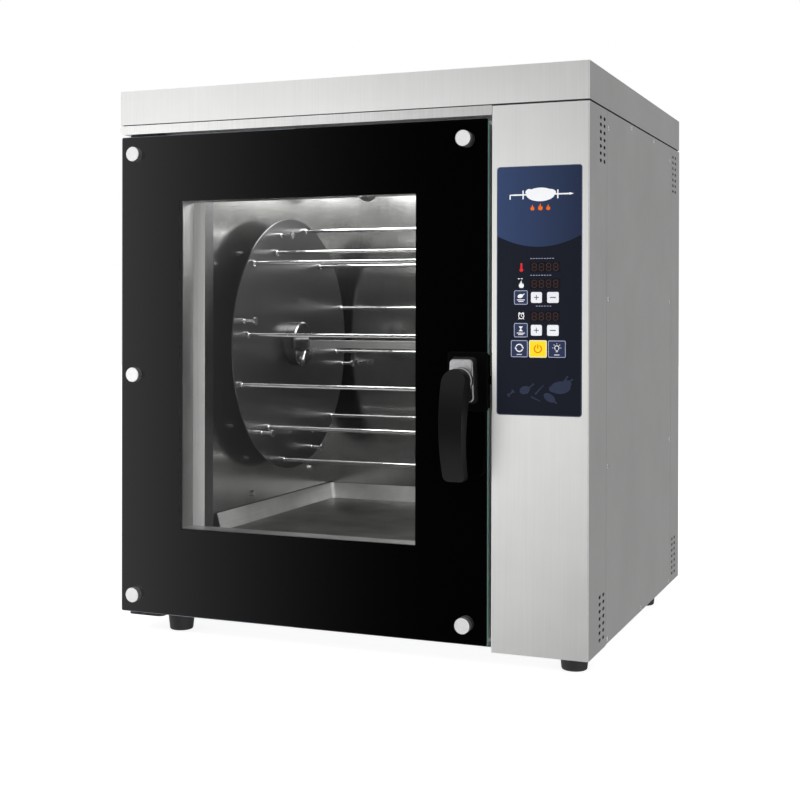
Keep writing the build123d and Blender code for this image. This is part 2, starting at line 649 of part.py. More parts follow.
def heating_elements():
    """U-shaped tubular elements, three under the ceiling and two under the tray."""
    elements = []
    front = FRAME_FACE + HEATER_FRONT
    back = CAVITY_BACK + LINER + HEATER_STUB
    for x0, x1, z in heater_loops():
        corners = ((x0, back, z), (x0, front, z), (x1, front, z), (x1, back, z))
        route = FilletPolyline(*corners, radius=HEATER_BEND)
        section = Pos(x0, back, z) * Rot(90, 0, 0) * Circle(HEATER_R)
        elements.append(sweep(section, path=route))
    return group(elements)


def insulation_slabs():
    """Mineral wool boards round the liner."""
    x0, x1 = CAVITY_X[0] - LINER, CAVITY_X[1] + LINER
    z0, z1 = CAVITY_Z[0] - LINER, CAVITY_Z[1] + LINER
    y0, y1 = FRAME_FACE + SHEET, CAVITY_BACK + LINER
    room = BRACKET_HALF + BRACKET_ROOM
    window = slab(0, BODY_W, ROTOR_Y - room, ROTOR_Y + room, ROTOR_Z - room, ROTOR_Z + room)
    left = slab(x0 - INSULATION, x0, y0 + JAMB, y1, z0, z1) - window
    right = slab(x1, COLUMN_X - WOOL_COLUMN_GAP, y0 + JAMB, y1, z0, z1) - window
    right -= rod("x", x1 - 1, BODY_W, LAMP_Y, LAMP_Z, LAMP_R + WOOL_LAMP_GAP)
    right -= rod("x", x1 - 1, BODY_W, PROBE_Y, PROBE_Z, PROBE_R + WOOL_PROBE_GAP)
    back = slab(x0, x1, y1, y1 + INSULATION, z0, z1)
    back -= rod("y", y1 - 1, BODY_D, COLLAR_X, COLLAR_Z, DUCT_R)
    for x, z in heater_legs():
        back -= rod("y", y1 - 1, BODY_D, x, z, HEATER_R + WOOL_HEATER_GAP)
    top = slab(x0, x1, y0 + JAMB, y1, z1, z1 + INSULATION)
    bottom = slab(x0, x1, y0 + JAMB, y1, z0 - INSULATION, z0)
    return group([left, right, back, top, bottom])


def door_gasket():
    """Silicone seal round the mouth, seated on the front frame."""
    margin = GASKET_MARGIN + GASKET_W
    x0 = min(CAVITY_X[0], WINDOW[0] - GLASS_LAP) - margin
    x1 = max(CAVITY_X[1], WINDOW[1] + GLASS_LAP) + margin
    z0, z1 = MOUTH_Z[0] - margin, MOUTH_Z[1] + margin
    y0 = DOOR_DEPTH + GASKET_GAP
    ring = slab(x0, x1, y0, FRAME_FACE, z0, z1)
    ring = fillet(ring.edges().filter_by(Axis.Y), GASKET_W)
    hole = slab(x0 + GASKET_W, x1 - GASKET_W, y0 - 1, FRAME_FACE + 1, z0 + GASKET_W, z1 - GASKET_W)
    ring -= fillet(hole.edges().filter_by(Axis.Y), GASKET_W / 3)
    return ring


def cavity_lamp():
    """Round oven lamp in the right wall: holder behind the liner and a glass lens in the cavity."""
    x = CAVITY_X[1]
    lens_r = LAMP_R - LAMP_LENS_GAP
    holder = tube("x", x + LINER, x + LAMP_HOLDER_L, LAMP_Y, LAMP_Z, LAMP_R + LAMP_HOLDER_WALL, lens_r)
    lens = rod("x", x - LAMP_LENS_OUT, x + LAMP_LENS_IN, LAMP_Y, LAMP_Z, lens_r)
    lens = fillet(lens.edges().filter_by(GeomType.CIRCLE).sort_by(Axis.X)[0], LAMP_EDGE)
    rim = tube("x", x - LAMP_RIM_T, x, LAMP_Y, LAMP_Z, LAMP_R + LAMP_RIM_W, lens_r)
    return group([holder, lens, rim])


def temperature_probe():
    x = CAVITY_X[1]
    stem = rod("x", x - PROBE_L, x + PROBE_TAIL, PROBE_Y, PROBE_Z, PROBE_R)
    return stem + rod("x", x - PROBE_NUT, x, PROBE_Y, PROBE_Z, PROBE_R + PROBE_NUT)


def tray_rails():
    """Two angle rails that carry the drip tray."""
    y0, y1 = FRAME_FACE + JAMB, CAVITY_BACK - RAIL_END
    top = TRAY_Z
    rails = []
    for x, side in ((CAVITY_X[0], 1), (CAVITY_X[1], -1)):
        x0, x1 = sorted((x, x + side * RAIL_W))
        w0, w1 = sorted((x, x + side * SHEET))
        rails.append(slab(x0, x1, y0, y1, top - SHEET, top) + slab(w0, w1, y0, y1, top - RAIL_H, top))
    return group(rails)


def drip_tray():
    """A pan with leaning walls and a low front lip."""
    reach = TRAY_GAP + TRAY_SLOPE
    x0, x1 = CAVITY_X[0] + reach, CAVITY_X[1] - reach
    y0, y1 = TRAY_FRONT + TRAY_SLOPE, CAVITY_BACK - reach
    top = TRAY_Z + TRAY_H

    def leaning(inset, floor_z, top_z):
        share = (top_z - TRAY_Z) / TRAY_H
        bottom_share = (floor_z - TRAY_Z) / TRAY_H
        sections = []
        for z, s in ((floor_z, bottom_share), (top_z, share)):
            grow = TRAY_SLOPE * s - inset
            width = x1 - x0 + 2 * grow
            length = y1 - y0 + 2 * grow
            middle = Pos((x0 + x1) / 2, (y0 + y1) / 2, z)
            sections.append(middle * RectangleRounded(width, length, TRAY_CORNER))
        return loft(sections)

    tray = leaning(0, TRAY_Z, top) - leaning(LINER, TRAY_Z + LINER, top + LINER)
    low_part = slab(x0 - reach, x1 + reach, 0, TRAY_FRONT + TRAY_LIP_L, TRAY_Z + TRAY_LIP, top + 1)
    return tray - low_part


# ---- Drive ----
def gear_motor():
    """Worm gear motor with a hollow output shaft; the motor hangs under the gearbox."""
    x0, x1 = GEARBOX
    box = slab(x0, x1, ROTOR_Y - GEARBOX_HALF, ROTOR_Y + GEARBOX_HALF,
               ROTOR_Z - GEARBOX_HALF, ROTOR_Z + GEARBOX_HALF)
    box = fillet(box.edges().filter_by(Axis.X), GEARBOX_CORNER)
    box -= rod("x", x1 - GEARBOX_BORE, x1 + 1, ROTOR_Y, ROTOR_Z, SHAFT_R + RUN_FIT)
    top = ROTOR_Z - GEARBOX_HALF
    middle, half = (x0 + x1) / 2, (x1 - x0) / 2
    can = rod("z", top - MOTOR_L, top, middle, ROTOR_Y, half - 1)
    tail = rod("z", top - MOTOR_L - MOTOR_TAIL, top - MOTOR_L, middle, ROTOR_Y, half - 4)
    return box + can + tail


def motor_bracket():
    """A plate on four spacers that holds the gear motor on the liner's left wall."""
    x0 = GEARBOX[1]
    x1 = x0 + BRACKET_PLATE
    plate = slab(x0, x1, ROTOR_Y - BRACKET_HALF, ROTOR_Y + BRACKET_HALF,
                 ROTOR_Z - BRACKET_HALF, ROTOR_Z + BRACKET_HALF)
    plate -= rod("x", x0 - 1, x1 + 1, ROTOR_Y, ROTOR_Z, SHAFT_R + BRACKET_HOLE_GAP)
    reach = BRACKET_HALF - BRACKET_POST_EDGE
    for side_y in (-1, 1):
        for side_z in (-1, 1):
            y = ROTOR_Y + side_y * reach
            z = ROTOR_Z + side_z * reach
            plate += rod("x", x0, CAVITY_X[0] - LINER, y, z, BRACKET_POST_R)
    return plate


def shaft_bearings():
    """A flanged bearing on the outside of each cavity wall."""
    bearings = []
    for x0, x1 in ((CAVITY_X[0] - LINER - BEARING_T, CAVITY_X[0] - LINER),
                   (CAVITY_X[1] + LINER, CAVITY_X[1] + LINER + BEARING_T)):
        bearings.append(tube("x", x0, x1, ROTOR_Y, ROTOR_Z, BEARING_R, SHAFT_R + RUN_FIT))
    return group(bearings)


# ---- Rotor ----
def rotor_disc(x0):
    """A disc with holes for the prongs; its left face is at x0."""
    plate = rod("x", x0, x0 + DISC_T, ROTOR_Y, ROTOR_Z, DISC_R)
    for number in range(SPITS):
        turn = SPIT_ANGLE + number * 360 / SPITS
        for radius, angle in ((PRONG_INNER_R, turn), (PRONG_OUTER_R, turn + PRONG_STEP)):
            y, z = on_rotor(radius, angle)
            plate -= rod("x", x0 - 1, x0 + DISC_T + 1, y, z, PRONG_R + PRONG_GAP)
    return plate


def rotor_discs():
    return group([rotor_disc(DISC_LEFT - DISC_T), rotor_disc(DISC_RIGHT)])


def bar_socket(x0, x1):
    """The square hole that takes the central bar."""
    half = BAR / 2 + BAR_FIT
    return slab(x0, x1, ROTOR_Y - half, ROTOR_Y + half, ROTOR_Z - half, ROTOR_Z + half)


def disc_hubs():
    """A round hub on each disc's inner face, with a boss that clamps the central bar."""
    hubs = []
    for face, way in ((DISC_LEFT, 1), (DISC_RIGHT, -1)):
        x0, x1 = sorted((face, face + way * HUB_L))
        body = rod("x", x0, x1, ROTOR_Y, ROTOR_Z, HUB_R)
        outer_face = face + way * HUB_L
        rim = body.edges().filter_by(GeomType.CIRCLE).sort_by_distance((outer_face, ROTOR_Y, ROTOR_Z))
        body = chamfer(rim[0], HUB_BEVEL)
        b0, b1 = sorted((outer_face, outer_face + way * BOSS_L))
        body += rod("x", b0, b1, ROTOR_Y, ROTOR_Z, BOSS_R)
        s0, s1 = sorted((face + way * SOCKET_END, b1 if way > 0 else b0))
        body -= bar_socket(s0 - (1 if way < 0 else 0), s1 + (1 if way > 0 else 0))
        body -= thumb_screw_at(face, way, SCREW_HOLE_R)
        hubs.append(body)
    return group(hubs)


def thumb_screw_at(face, way, radius):
    """The thumb screw's shank as a cylinder of the given radius."""
    x = face + way * (HUB_L + BOSS_L / 2)
    half = BAR / 2 + BAR_FIT
    shank = Cylinder(radius, THUMB_L, align=(Align.CENTER, Align.CENTER, Align.MIN))
    return Pos(x, ROTOR_Y, ROTOR_Z) * Rot(THUMB_ANGLE - 90, 0, 0) * Pos(0, 0, half + THUMB_IN) * shank


def thumb_screws():
    """Wing screws that clamp the central bar in the bosses."""
    screws = []
    for face, way in ((DISC_LEFT, 1), (DISC_RIGHT, -1)):
        x = face + way * (HUB_L + BOSS_L / 2)
        shank = thumb_screw_at(face, way, THUMB_R)
        place = Pos(x, ROTOR_Y, ROTOR_Z) * Rot(THUMB_ANGLE - 90, 0, 0) * Pos(0, 0, BAR / 2 + THUMB_KNOB_OUT)
        knob = place * Cylinder(THUMB_KNOB_R, THUMB_KNOB_L)
        wings = place * Pos(0, 0, THUMB_WING_UP) * Box(*THUMB_WING)
        wings = fillet(wings.edges().filter_by(Axis.X), THUMB_WING_CORNER)
        screws.append(shank + knob + wings)
    return group(screws)


def central_bar():
    """Square bar between the two hubs, which carries the seventh spit."""
    gap = SOCKET_END + BAR_END_GAP
    return slab(DISC_LEFT + gap, DISC_RIGHT - gap, ROTOR_Y - BAR / 2, ROTOR_Y + BAR / 2,
                ROTOR_Z - BAR / 2, ROTOR_Z + BAR / 2)


def rotor_shafts():
    """Stub shafts that carry the discs; the left one reaches into the gear motor."""
    flange_r = HUB_R - SHAFT_FLANGE_STEP
    left_face, right_face = DISC_LEFT - DISC_T, DISC_RIGHT + DISC_T
    right_end = CAVITY_X[1] + LINER + BEARING_T + BEARING_PROUD
    left = rod("x", GEARBOX[1] - SHAFT_IN, left_face, ROTOR_Y, ROTOR_Z, SHAFT_R)
    left += rod("x", left_face - SHAFT_FLANGE_T, left_face, ROTOR_Y, ROTOR_Z, flange_r)
    right = rod("x", right_face, right_end, ROTOR_Y, ROTOR_Z, SHAFT_R)
    right += rod("x", right_face, right_face + SHAFT_FLANGE_T, ROTOR_Y, ROTOR_Z, flange_r)
    return group([left, right])


def basket_pins():
    """Headed pins on the discs' inner faces, on which baskets hang."""
    pins = []
    for face, way in ((DISC_LEFT, 1), (DISC_RIGHT, -1)):
        for number in range(SPITS):
            angle = SPIT_ANGLE + PIN_STEP + number * 360 / SPITS
            y, z = on_rotor(BASKET_PIN_PCR, angle)
            x0, x1 = sorted((face, face + way * BASKET_PIN_L))
            h0, h1 = sorted((face + way * (BASKET_PIN_L - PIN_HEAD_L), face + way * BASKET_PIN_L))
            n0, n1 = sorted((face, face + way * PIN_FOOT_L))
            pin = rod("x", x0, x1, y, z, BASKET_PIN_R) + rod("x", h0, h1, y, z, BASKET_HEAD_R)
            pins.append(pin + rod("x", n0, n1, y, z, BASKET_PIN_R + PIN_FOOT_WALL))
    return group(pins)


def spit(number):
    """A two-pronged spit: its prongs cross both discs and a bridge plate joins their right ends."""
    turn = SPIT_ANGLE + number * 360 / SPITS
    ends = [on_rotor(PRONG_INNER_R, turn), on_rotor(PRONG_OUTER_R, turn + PRONG_STEP)]
    tip = DISC_LEFT - DISC_T - PRONG_TAIL
    bridge_x = DISC_RIGHT + DISC_T + BRIDGE_GAP
    pieces = []
    for y, z in ends:
        prong = rod("x", tip + TIP_L, bridge_x, y, z, PRONG_R)
        point = Pos(tip + TIP_L / 2, y, z) * Rot(0, 90, 0) * Cone(TIP_R, PRONG_R, TIP_L)
        stop_x = DISC_LEFT + STOP_GAP
        collar = rod("x", stop_x, stop_x + STOP_L, y, z, PRONG_R + STOP_WALL)
        pieces.append(prong + point + collar)
    plate = None
    for y, z in ends:
        end = rod("x", bridge_x, bridge_x + BRIDGE_T, y, z, PRONG_R + BRIDGE_END)
        plate = end if plate is None else plate + end
    (y0, z0), (y1, z1) = ends
    middle = (bridge_x, (y0 + y1) / 2, (z0 + z1) / 2)
    link = Plane(origin=middle, x_dir=(0, y1 - y0, z1 - z0), z_dir=(1, 0, 0))
    length = ((y1 - y0) ** 2 + (z1 - z0) ** 2) ** 0.5
    plate += extrude(link * Rectangle(length, BRIDGE_W), BRIDGE_T)
    pieces.append(plate)
    return group(pieces)


# ---- Door ----
def standoff_places():
    """Where the glass is held, as x and z."""
    left, right = GLASS_LEFT + STANDOFF_LEFT, GLASS_RIGHT - STANDOFF_RIGHT
    low, high = DOOR_BOTTOM + STANDOFF_LOW, GLASS_TOP - STANDOFF_HIGH
    return [(left, low), (left, (low + high) / 2), (left, high), (right, low), (right, high)]


def door_glass_outer():
    glass = slab(GLASS_LEFT, GLASS_RIGHT, 0, GLASS_T, DOOR_BOTTOM, GLASS_TOP)
    glass = fillet(glass.edges().filter_by(Axis.Y), GLASS_CORNER)
    glass = chamfer(glass.faces().sort_by(Axis.Y)[0].edges(), GLASS_BEVEL)
    for x, z in standoff_places():
        glass -= rod("y", -1, GLASS_T + 1, x, z, STUD_R + GLASS_HOLE_GAP)
    return glass - rod("y", -1, GLASS_T + 1, LATCH_X, LATCH_Z, LATCH_SHAFT_R + LATCH_HOLE_GAP)


def glass_print():
    """Black ceramic print behind the outer glass, clear at the window."""
    layer = slab(GLASS_LEFT + PRINT_EDGE, GLASS_RIGHT - PRINT_EDGE, GLASS_T, GLASS_T + PRINT_T,
                 DOOR_BOTTOM + PRINT_EDGE, GLASS_TOP - PRINT_EDGE)
    layer -= slab(WINDOW[0], WINDOW[1], 0, FRAME_FACE, WINDOW[2], WINDOW[3])
    for x, z in standoff_places():
        layer -= rod("y", -1, FRAME_FACE, x, z, STUD_R + GLASS_HOLE_GAP)
    return layer - rod("y", -1, FRAME_FACE, LATCH_X, LATCH_Z, LATCH_SHAFT_R + LATCH_HOLE_GAP)


def box_section(x0, x1, z0, z1):
    """One closed box section of the door frame, without its holes."""
    y0, y1 = FRAME_Y
    inside = slab(x0 + SHEET, x1 - SHEET, y0 + SHEET, y1 - SHEET, z0 + SHEET, z1 - SHEET)
    return slab(x0, x1, y0, y1, z0, z1) - inside


def hinge_stile():
    """Left stile, with a block at each end for the pivot pins."""
    x0 = FRAME_X[0]
    z0, z1 = FRAME_Z
    stile = box_section(x0, WINDOW[0], z0, z1)
    stile = fillet(stile.edges().filter_by(Axis.Z).group_by(Axis.X)[0], BEND_R)
    for low in (z0 + SHEET, z1 - SHEET - HINGE_BLOCK_L):
        stile += rod("z", low, low + HINGE_BLOCK_L, HINGE_X, HINGE_Y, HINGE_BLOCK_R)
    stile -= rod("z", z0 - 1, z0 + HINGE_BLOCK_L, HINGE_X, HINGE_Y, PIN_R + RUN_FIT)
    return stile - rod("z", z1 - HINGE_BLOCK_L, z1 + 1, HINGE_X, HINGE_Y, PIN_R + RUN_FIT)


def latch_stile():
    """Right stile, with the shaft hole and the slot in which the tongue swings."""
    x1 = FRAME_X[1]
    y0 = FRAME_Y[0]
    stile = box_section(WINDOW[1], x1, *FRAME_Z)
    stile = fillet(stile.edges().filter_by(Axis.Z).group_by(Axis.X)[-1], BEND_R)
    stile -= rod("y", y0 - 1, y0 + SHEET + 1, LATCH_X, LATCH_Z, LATCH_SHAFT_R + LATCH_HOLE_GAP / 2)
    reach = COLUMN_X - LATCH_TIP_GAP - LATCH_X
    wall = x1 - SHEET - LATCH_X
    drop = (reach ** 2 - wall ** 2) ** 0.5
    return stile - slab(x1 - SHEET - 1, x1 + 1, TONGUE_Y[0] - SLOT_ROOM_Y, TONGUE_Y[1] + SLOT_ROOM_Y,
                        LATCH_Z - drop - SLOT_ROOM, LATCH_Z + TONGUE_H / 2 + SLOT_ROOM)


def window_rail(z0, z1, slot_z):
    """A rail over or under the window, with a row of vent slots through one of its walls."""
    w0, w1 = WINDOW[:2]
    rail = box_section(w0, w1, z0, z1)
    middle = sum(FRAME_Y) / 2
    count = int(WINDOW_W / VENT_PITCH)
    first = (w0 + w1) / 2 - (count - 1) * VENT_PITCH / 2
    for number in range(count):
        x = first + number * VENT_PITCH
        rail -= slab(x - VENT_HALF_X, x + VENT_HALF_X, middle - VENT_HALF_Y, middle + VENT_HALF_Y,
                     slot_z - SHEET - 1, slot_z + SHEET + 1)
    return rail


def door_frame():
    """Steel frame behind the glass, welded from four closed box sections."""
    over = window_rail(WINDOW[3], FRAME_Z[1], WINDOW[3])
    under = window_rail(FRAME_Z[0], WINDOW[2], FRAME_Z[0])
    pieces = []
    for piece in (hinge_stile(), latch_stile(), over, under):
        for x, z in standoff_places():
            piece -= rod("y", FRAME_Y[0] - 1, FRAME_Y[0] + SHEET + 1, x, z, STUD_R + STUD_GAP)
        pieces.append(piece)
    return group(pieces)


def door_glass_inner():
    y0 = DOOR_DEPTH + PANE_GAP
    return slab(WINDOW[0] - GLASS_LAP, WINDOW[1] + GLASS_LAP, y0, y0 + INNER_GLASS_T,
                WINDOW[2] - GLASS_LAP, WINDOW[3] + GLASS_LAP)


def glass_clips():
    """Folded clips that hold the inner glass on the back of the door frame."""
    y1 = DOOR_DEPTH + PANE_GAP + INNER_GLASS_T
    clips = []
    x_left, x_right = WINDOW[0] - GLASS_LAP, WINDOW[1] + GLASS_LAP
    z_low, z_high = WINDOW[2] - GLASS_LAP, WINDOW[3] + GLASS_LAP
    for middle in (x_left + CLIP_EDGE, (x_left + x_right) / 2, x_right - CLIP_EDGE):
        x0, x1 = middle - CLIP_W / 2, middle + CLIP_W / 2
        for edge, way in ((z_low, -1), (z_high, 1)):
            near, far = edge + way * CLIP_GAP, edge + way * GLASS_LAP
            web_low, web_high = sorted((near, near + way * CLIP_T))
            base_low, base_high = sorted((near, far))
            flap_low, flap_high = sorted((near, edge - way * CLIP_LAP))
            web = slab(x0, x1, DOOR_DEPTH, y1 + CLIP_T, web_low, web_high)
            base = slab(x0, x1, DOOR_DEPTH, DOOR_DEPTH + CLIP_T, base_low, base_high)
            flap = slab(x0, x1, y1, y1 + CLIP_T, flap_low, flap_high)
            clips.append(web + base + flap)
    return group(clips)


def glass_standoffs():
    """Caps with studs that clamp the outer glass, each with a spacer behind the glass."""
    pieces = []
    behind = GLASS_T + PRINT_T
    for x, z in standoff_places():
        cap = rod("y", -STANDOFF_REACH, 0, x, z, STANDOFF_R)
        front_edge = cap.edges().filter_by(GeomType.CIRCLE).sort_by(Axis.Y)[0]
        cap = chamfer(front_edge, CAP_BEVEL)
        cap += rod("y", -1, FRAME_Y[0] + SHEET + 2, x, z, STUD_R)
        pieces.append(cap)
        pieces.append(tube("y", behind, FRAME_Y[0], x, z, STUD_R * 2, STUD_R))
    return group(pieces)


def hinge_brackets():
    """Upper and lower hinge plates on the cabinet, each with its welded pivot pin."""
    x0 = HINGE_X - BRACKET_BEFORE_X
    y0 = HINGE_Y - BRACKET_BEFORE_Y
    top = slab(x0, x0 + BRACKET_W, y0, FRAME_FACE, BEAM_Z - BRACKET_T, BEAM_Z)
    top = fillet(top.edges().filter_by(Axis.Z).sort_by(Axis.Y)[:2], BRACKET_CORNER)
    top += rod("z", FRAME_Z[1] - HINGE_BLOCK_L + PIN_END_GAP, BEAM_Z - BRACKET_T, HINGE_X, HINGE_Y, PIN_R)
    low = slab(x0, x0 + BRACKET_W, y0, FRAME_FACE, SHEET, SHEET + BRACKET_T + 1)
    low = fillet(low.edges().filter_by(Axis.Z).sort_by(Axis.Y)[:2], BRACKET_CORNER)
    low += rod("z", SHEET, FRAME_Z[0] + HINGE_BLOCK_L - PIN_END_GAP, HINGE_X, HINGE_Y, PIN_R)
    return group([top, low])


# ---- Latch ----
def latch_plate():
    """Backing plate on the glass, which laps the glass edge."""
    x0, x1 = LATCH_X - PLATE_LEFT, GLASS_RIGHT + PLATE_LAP
    z0 = LATCH_Z - PLATE_H * PLATE_SHARE
    plate = slab(x0, x1, -PLATE_T, 0, z0, z0 + PLATE_H)
    plate = fillet(plate.edges().filter_by(Axis.Y), PLATE_CORNER)
    plate = fillet(plate.faces().sort_by(Axis.Y)[0].edges(), PLATE_BEVEL)
    plate += slab(GLASS_RIGHT + PLATE_RETURN_GAP, x1, -1, GLASS_T + PLATE_RETURN_IN,
                  z0 + PLATE_RETURN, z0 + PLATE_H - PLATE_RETURN)
    return plate - rod("y", -PLATE_T - 1, 1, LATCH_X, LATCH_Z, LATCH_SHAFT_R + RUN_FIT)


def latch_housing():
    """Chrome base of the handle: a block that narrows towards its top and its front."""
    width, height, depth = HOUSING
    y1 = -PLATE_T
    back = Plane(origin=(LATCH_X, y1, LATCH_Z), x_dir=(1, 0, 0), z_dir=(0, -1, 0))
    front = back.offset(depth)
    low, high = width / 2, width / 2 - HOUSING_TAPER
    up = height / 2
    outline = Polyline((-low, -up), (low, -up), (high, up), (-high, up), close=True)
    base = make_face(outline)
    base = fillet(base.vertices(), HOUSING_CORNER)
    block = loft([back * base, front * scale(base, HOUSING_FRONT)])
    block = fillet(block.faces().sort_by(Axis.Y)[0].edges(), HOUSING_EDGE)
    return block - rod("y", y1 - depth - 1, 1, LATCH_X, LATCH_Z, LATCH_SHAFT_R + RUN_FIT)


def latch_lever():
    """Chrome hub on its shaft through the glass; a collar runs round the grip's top."""
    face = -PLATE_T - HOUSING[2] - HUB_FIT
    hub = rod("y", face - LEVER_HUB_T, face, LATCH_X, LATCH_Z, LEVER_HUB_R)
    hub = fillet(hub.edges().filter_by(GeomType.CIRCLE).sort_by(Axis.Y)[0], LEVER_HUB_EDGE)
    return hub + rod("y", face - 1, TONGUE_Y[0] - TONGUE_BOSS_OUT, LATCH_X, LATCH_Z, LATCH_SHAFT_R)


def latch_tongue():
    """Flat tongue on the shaft's inner end; it points at the column when the door is locked."""
    y0, y1 = TONGUE_Y
    tip = COLUMN_X - LATCH_TIP_GAP
    arm = slab(LATCH_X, tip - TONGUE_H / 2, y0, y1, LATCH_Z - TONGUE_H / 2, LATCH_Z + TONGUE_H / 2)
    nose = rod("y", y0, y1, tip - TONGUE_H / 2, LATCH_Z, TONGUE_H / 2)
    boss = rod("y", y0 - TONGUE_BOSS_OUT, y1, LATCH_X, LATCH_Z, LATCH_SHAFT_R + TONGUE_BOSS_WALL)
    return arm + nose + boss


def handle_grip():
    """Bowed black grip, hanging from the hub; its lower end is free."""
    half = GRIP_W / 2
    front_face = Plane.XZ
    low_z = LATCH_Z + half - GRIP_L
    corner_x = GRIP_END_W / 2 - GRIP_END_R
    rounds = [Pos(LATCH_X, LATCH_Z) * Circle(half)]
    rounds += [Pos(LATCH_X + side * corner_x, low_z + GRIP_END_R) * Circle(GRIP_END_R) for side in (-1, 1)]
    outline = make_hull([edge for circle in rounds for edge in circle.edges()])
    column = extrude(front_face * outline, HANDLE_REACH * 2)
    hub_face = -PLATE_T - HOUSING[2] - HUB_FIT - LEVER_HUB_T
    z_top, z_bottom = LATCH_Z + half + 1, low_z - 1
    z_mid = (z_top + z_bottom) / 2 - GRIP_BELLY
    low_y = hub_face - GRIP_END_OUT
    top_point = (-HANDLE_REACH + GRIP_TOP_STEP, z_top)
    end_point = (-HANDLE_REACH + GRIP_END_STEP, z_bottom)
    outer_arc = ThreePointArc(top_point, (-HANDLE_REACH, z_mid), end_point)
    low_side = Line(outer_arc @ 1, (low_y, z_bottom))
    inner_arc = ThreePointArc((low_y, z_bottom), (hub_face - GRIP_BOW, z_mid), (hub_face, LATCH_Z - half))
    up = Line(inner_arc @ 1, (hub_face, z_top))
    close = Line((hub_face, z_top), outer_arc @ 0)
    profile = make_face([outer_arc, low_side, inner_arc, up, close])
    side = extrude(Plane.YZ * profile, BODY_W)
    return column & side


def latch_strike():
    """Keeper plate on the column beside the door, with its lip just clear of the tongue."""
    x1 = COLUMN_X
    y0, y1 = TONGUE_Y[0] - STRIKE_Y[0], TONGUE_Y[1] + STRIKE_Y[1]
    return slab(x1 - STRIKE_T, x1, y0, y1, LATCH_Z - STRIKE_HALF, LATCH_Z + STRIKE_HALF)


# ---- Controls ----
def keys():
    """Each key's name, middle and size."""
    for row, names in enumerate(KEY_NAMES):
        layout = LARGE_ROW if row == 2 else SMALL_ROW
        for name, (across, width, height) in zip(names, layout):
            yield name, PAD_X + across, PAD_BOTTOM + KEY_ROWS[row], width, height


def rounded_plate(x, z, width, height, y0, y1, radius):
    plate = slab(x - width / 2, x + width / 2, y0, y1, z - height / 2, z + height / 2)
    return fillet(plate.edges().filter_by(Axis.Y), radius)


def keypad_panel():
    """Front plate of the controls, with a window for each key and display."""
    x, z = PAD_X + PAD_W / 2, PAD_BOTTOM + PAD_H / 2
    pad = rounded_plate(x, z, PAD_W, PAD_H, -PAD_PROUD, PAD_T - PAD_PROUD, PAD_CORNER)
    for _, key_x, key_z, width, height in keys():
        gap = 2 * KEY_GAP
        pad -= rounded_plate(key_x, key_z, width + gap, height + gap, -5, 5, KEY_CORNER + KEY_GAP)
    for across, up in DISPLAYS:
        pad -= slab(PAD_X + across - DISPLAY_W / 2, PAD_X + across + DISPLAY_W / 2, -5, 5,
                    PAD_BOTTOM + up - DISPLAY_H / 2, PAD_BOTTOM + up + DISPLAY_H / 2)
    return pad


def key(x, z, width, height):
    """A key cap with a flange behind the pad and a stem towards the control board."""
    front = -PAD_PROUD - KEY_PROUD
    back = PAD_T - PAD_PROUD + KEY_BACK_GAP
    wider = 2 * KEY_FLANGE_W
    cap = rounded_plate(x, z, width, height, front, back, KEY_CORNER)
    cap = fillet(cap.faces().sort_by(Axis.Y)[0].edges(), KEY_EDGE)
    flange = rounded_plate(x, z, width + wider, height + wider, back, back + KEY_FLANGE_T, KEY_CORNER)
    stem = rod("y", back + KEY_FLANGE_T, BOARD_Y - KEY_TRAVEL - KEY_STEM_GAP, x, z, KEY_STEM_R)
    return cap + flange + stem


def display_modules():
    """Three four-digit displays between pad and board."""
    modules = []
    for across, up in DISPLAYS:
        x, z = PAD_X + across, PAD_BOTTOM + up
        half_w, half_h = DISPLAY_W / 2 - DISPLAY_GAP, DISPLAY_H / 2 - DISPLAY_GAP
        face = -PAD_PROUD + DISPLAY_BACK
        modules.append(slab(x - half_w, x + half_w, face, BOARD_Y, z - half_h, z + half_h))
    return group(modules)


def control_board():
    """Circuit board on four posts that hold it behind the pad."""
    x0, x1 = PAD_X + BOARD_SIDE, PAD_X + PAD_W - BOARD_SIDE
    z0, z1 = PAD_BOTTOM + BOARD_LOW, PAD_BOTTOM + PAD_H - BOARD_HIGH
    back = BOARD_Y + BOARD_T
    board = slab(x0, x1, BOARD_Y, back, z0, z1)
    for x in (x0 + POST_EDGE, x1 - POST_EDGE):
        for z in (z0 + POST_EDGE, z1 - POST_EDGE):
            board += rod("y", PAD_T - PAD_PROUD, BOARD_Y, x, z, POST_R)
    left, right, low, high, deep = TRANSFORMER
    board += slab(x0 + left, x0 + right, back, back + deep, z0 + low, z0 + high)
    left, right, low, high, deep = RELAY
    return board + slab(x1 - left, x1 - right, back, back + deep, z0 + low, z0 + high)


# ---- Electrics ----
def terminal_block():
    """Mains terminals inside the rear panel beside the cable gland."""
    width, depth, height = BLOCK
    x0 = GLAND_X - width / 2
    back = BODY_D - SHEET
    top = GLAND_Z + BLOCK_ABOVE + height
    block = slab(x0, x0 + width, back - depth, back, top - height, top)
    for number in range(TERMINALS):
        x = GLAND_X + (number - (TERMINALS - 1) / 2) * TERMINAL_PITCH
        block -= rod("z", top - TERMINAL_DEPTH, top + 1, x, back - BLOCK_FACE, TERMINAL_R)
    return block


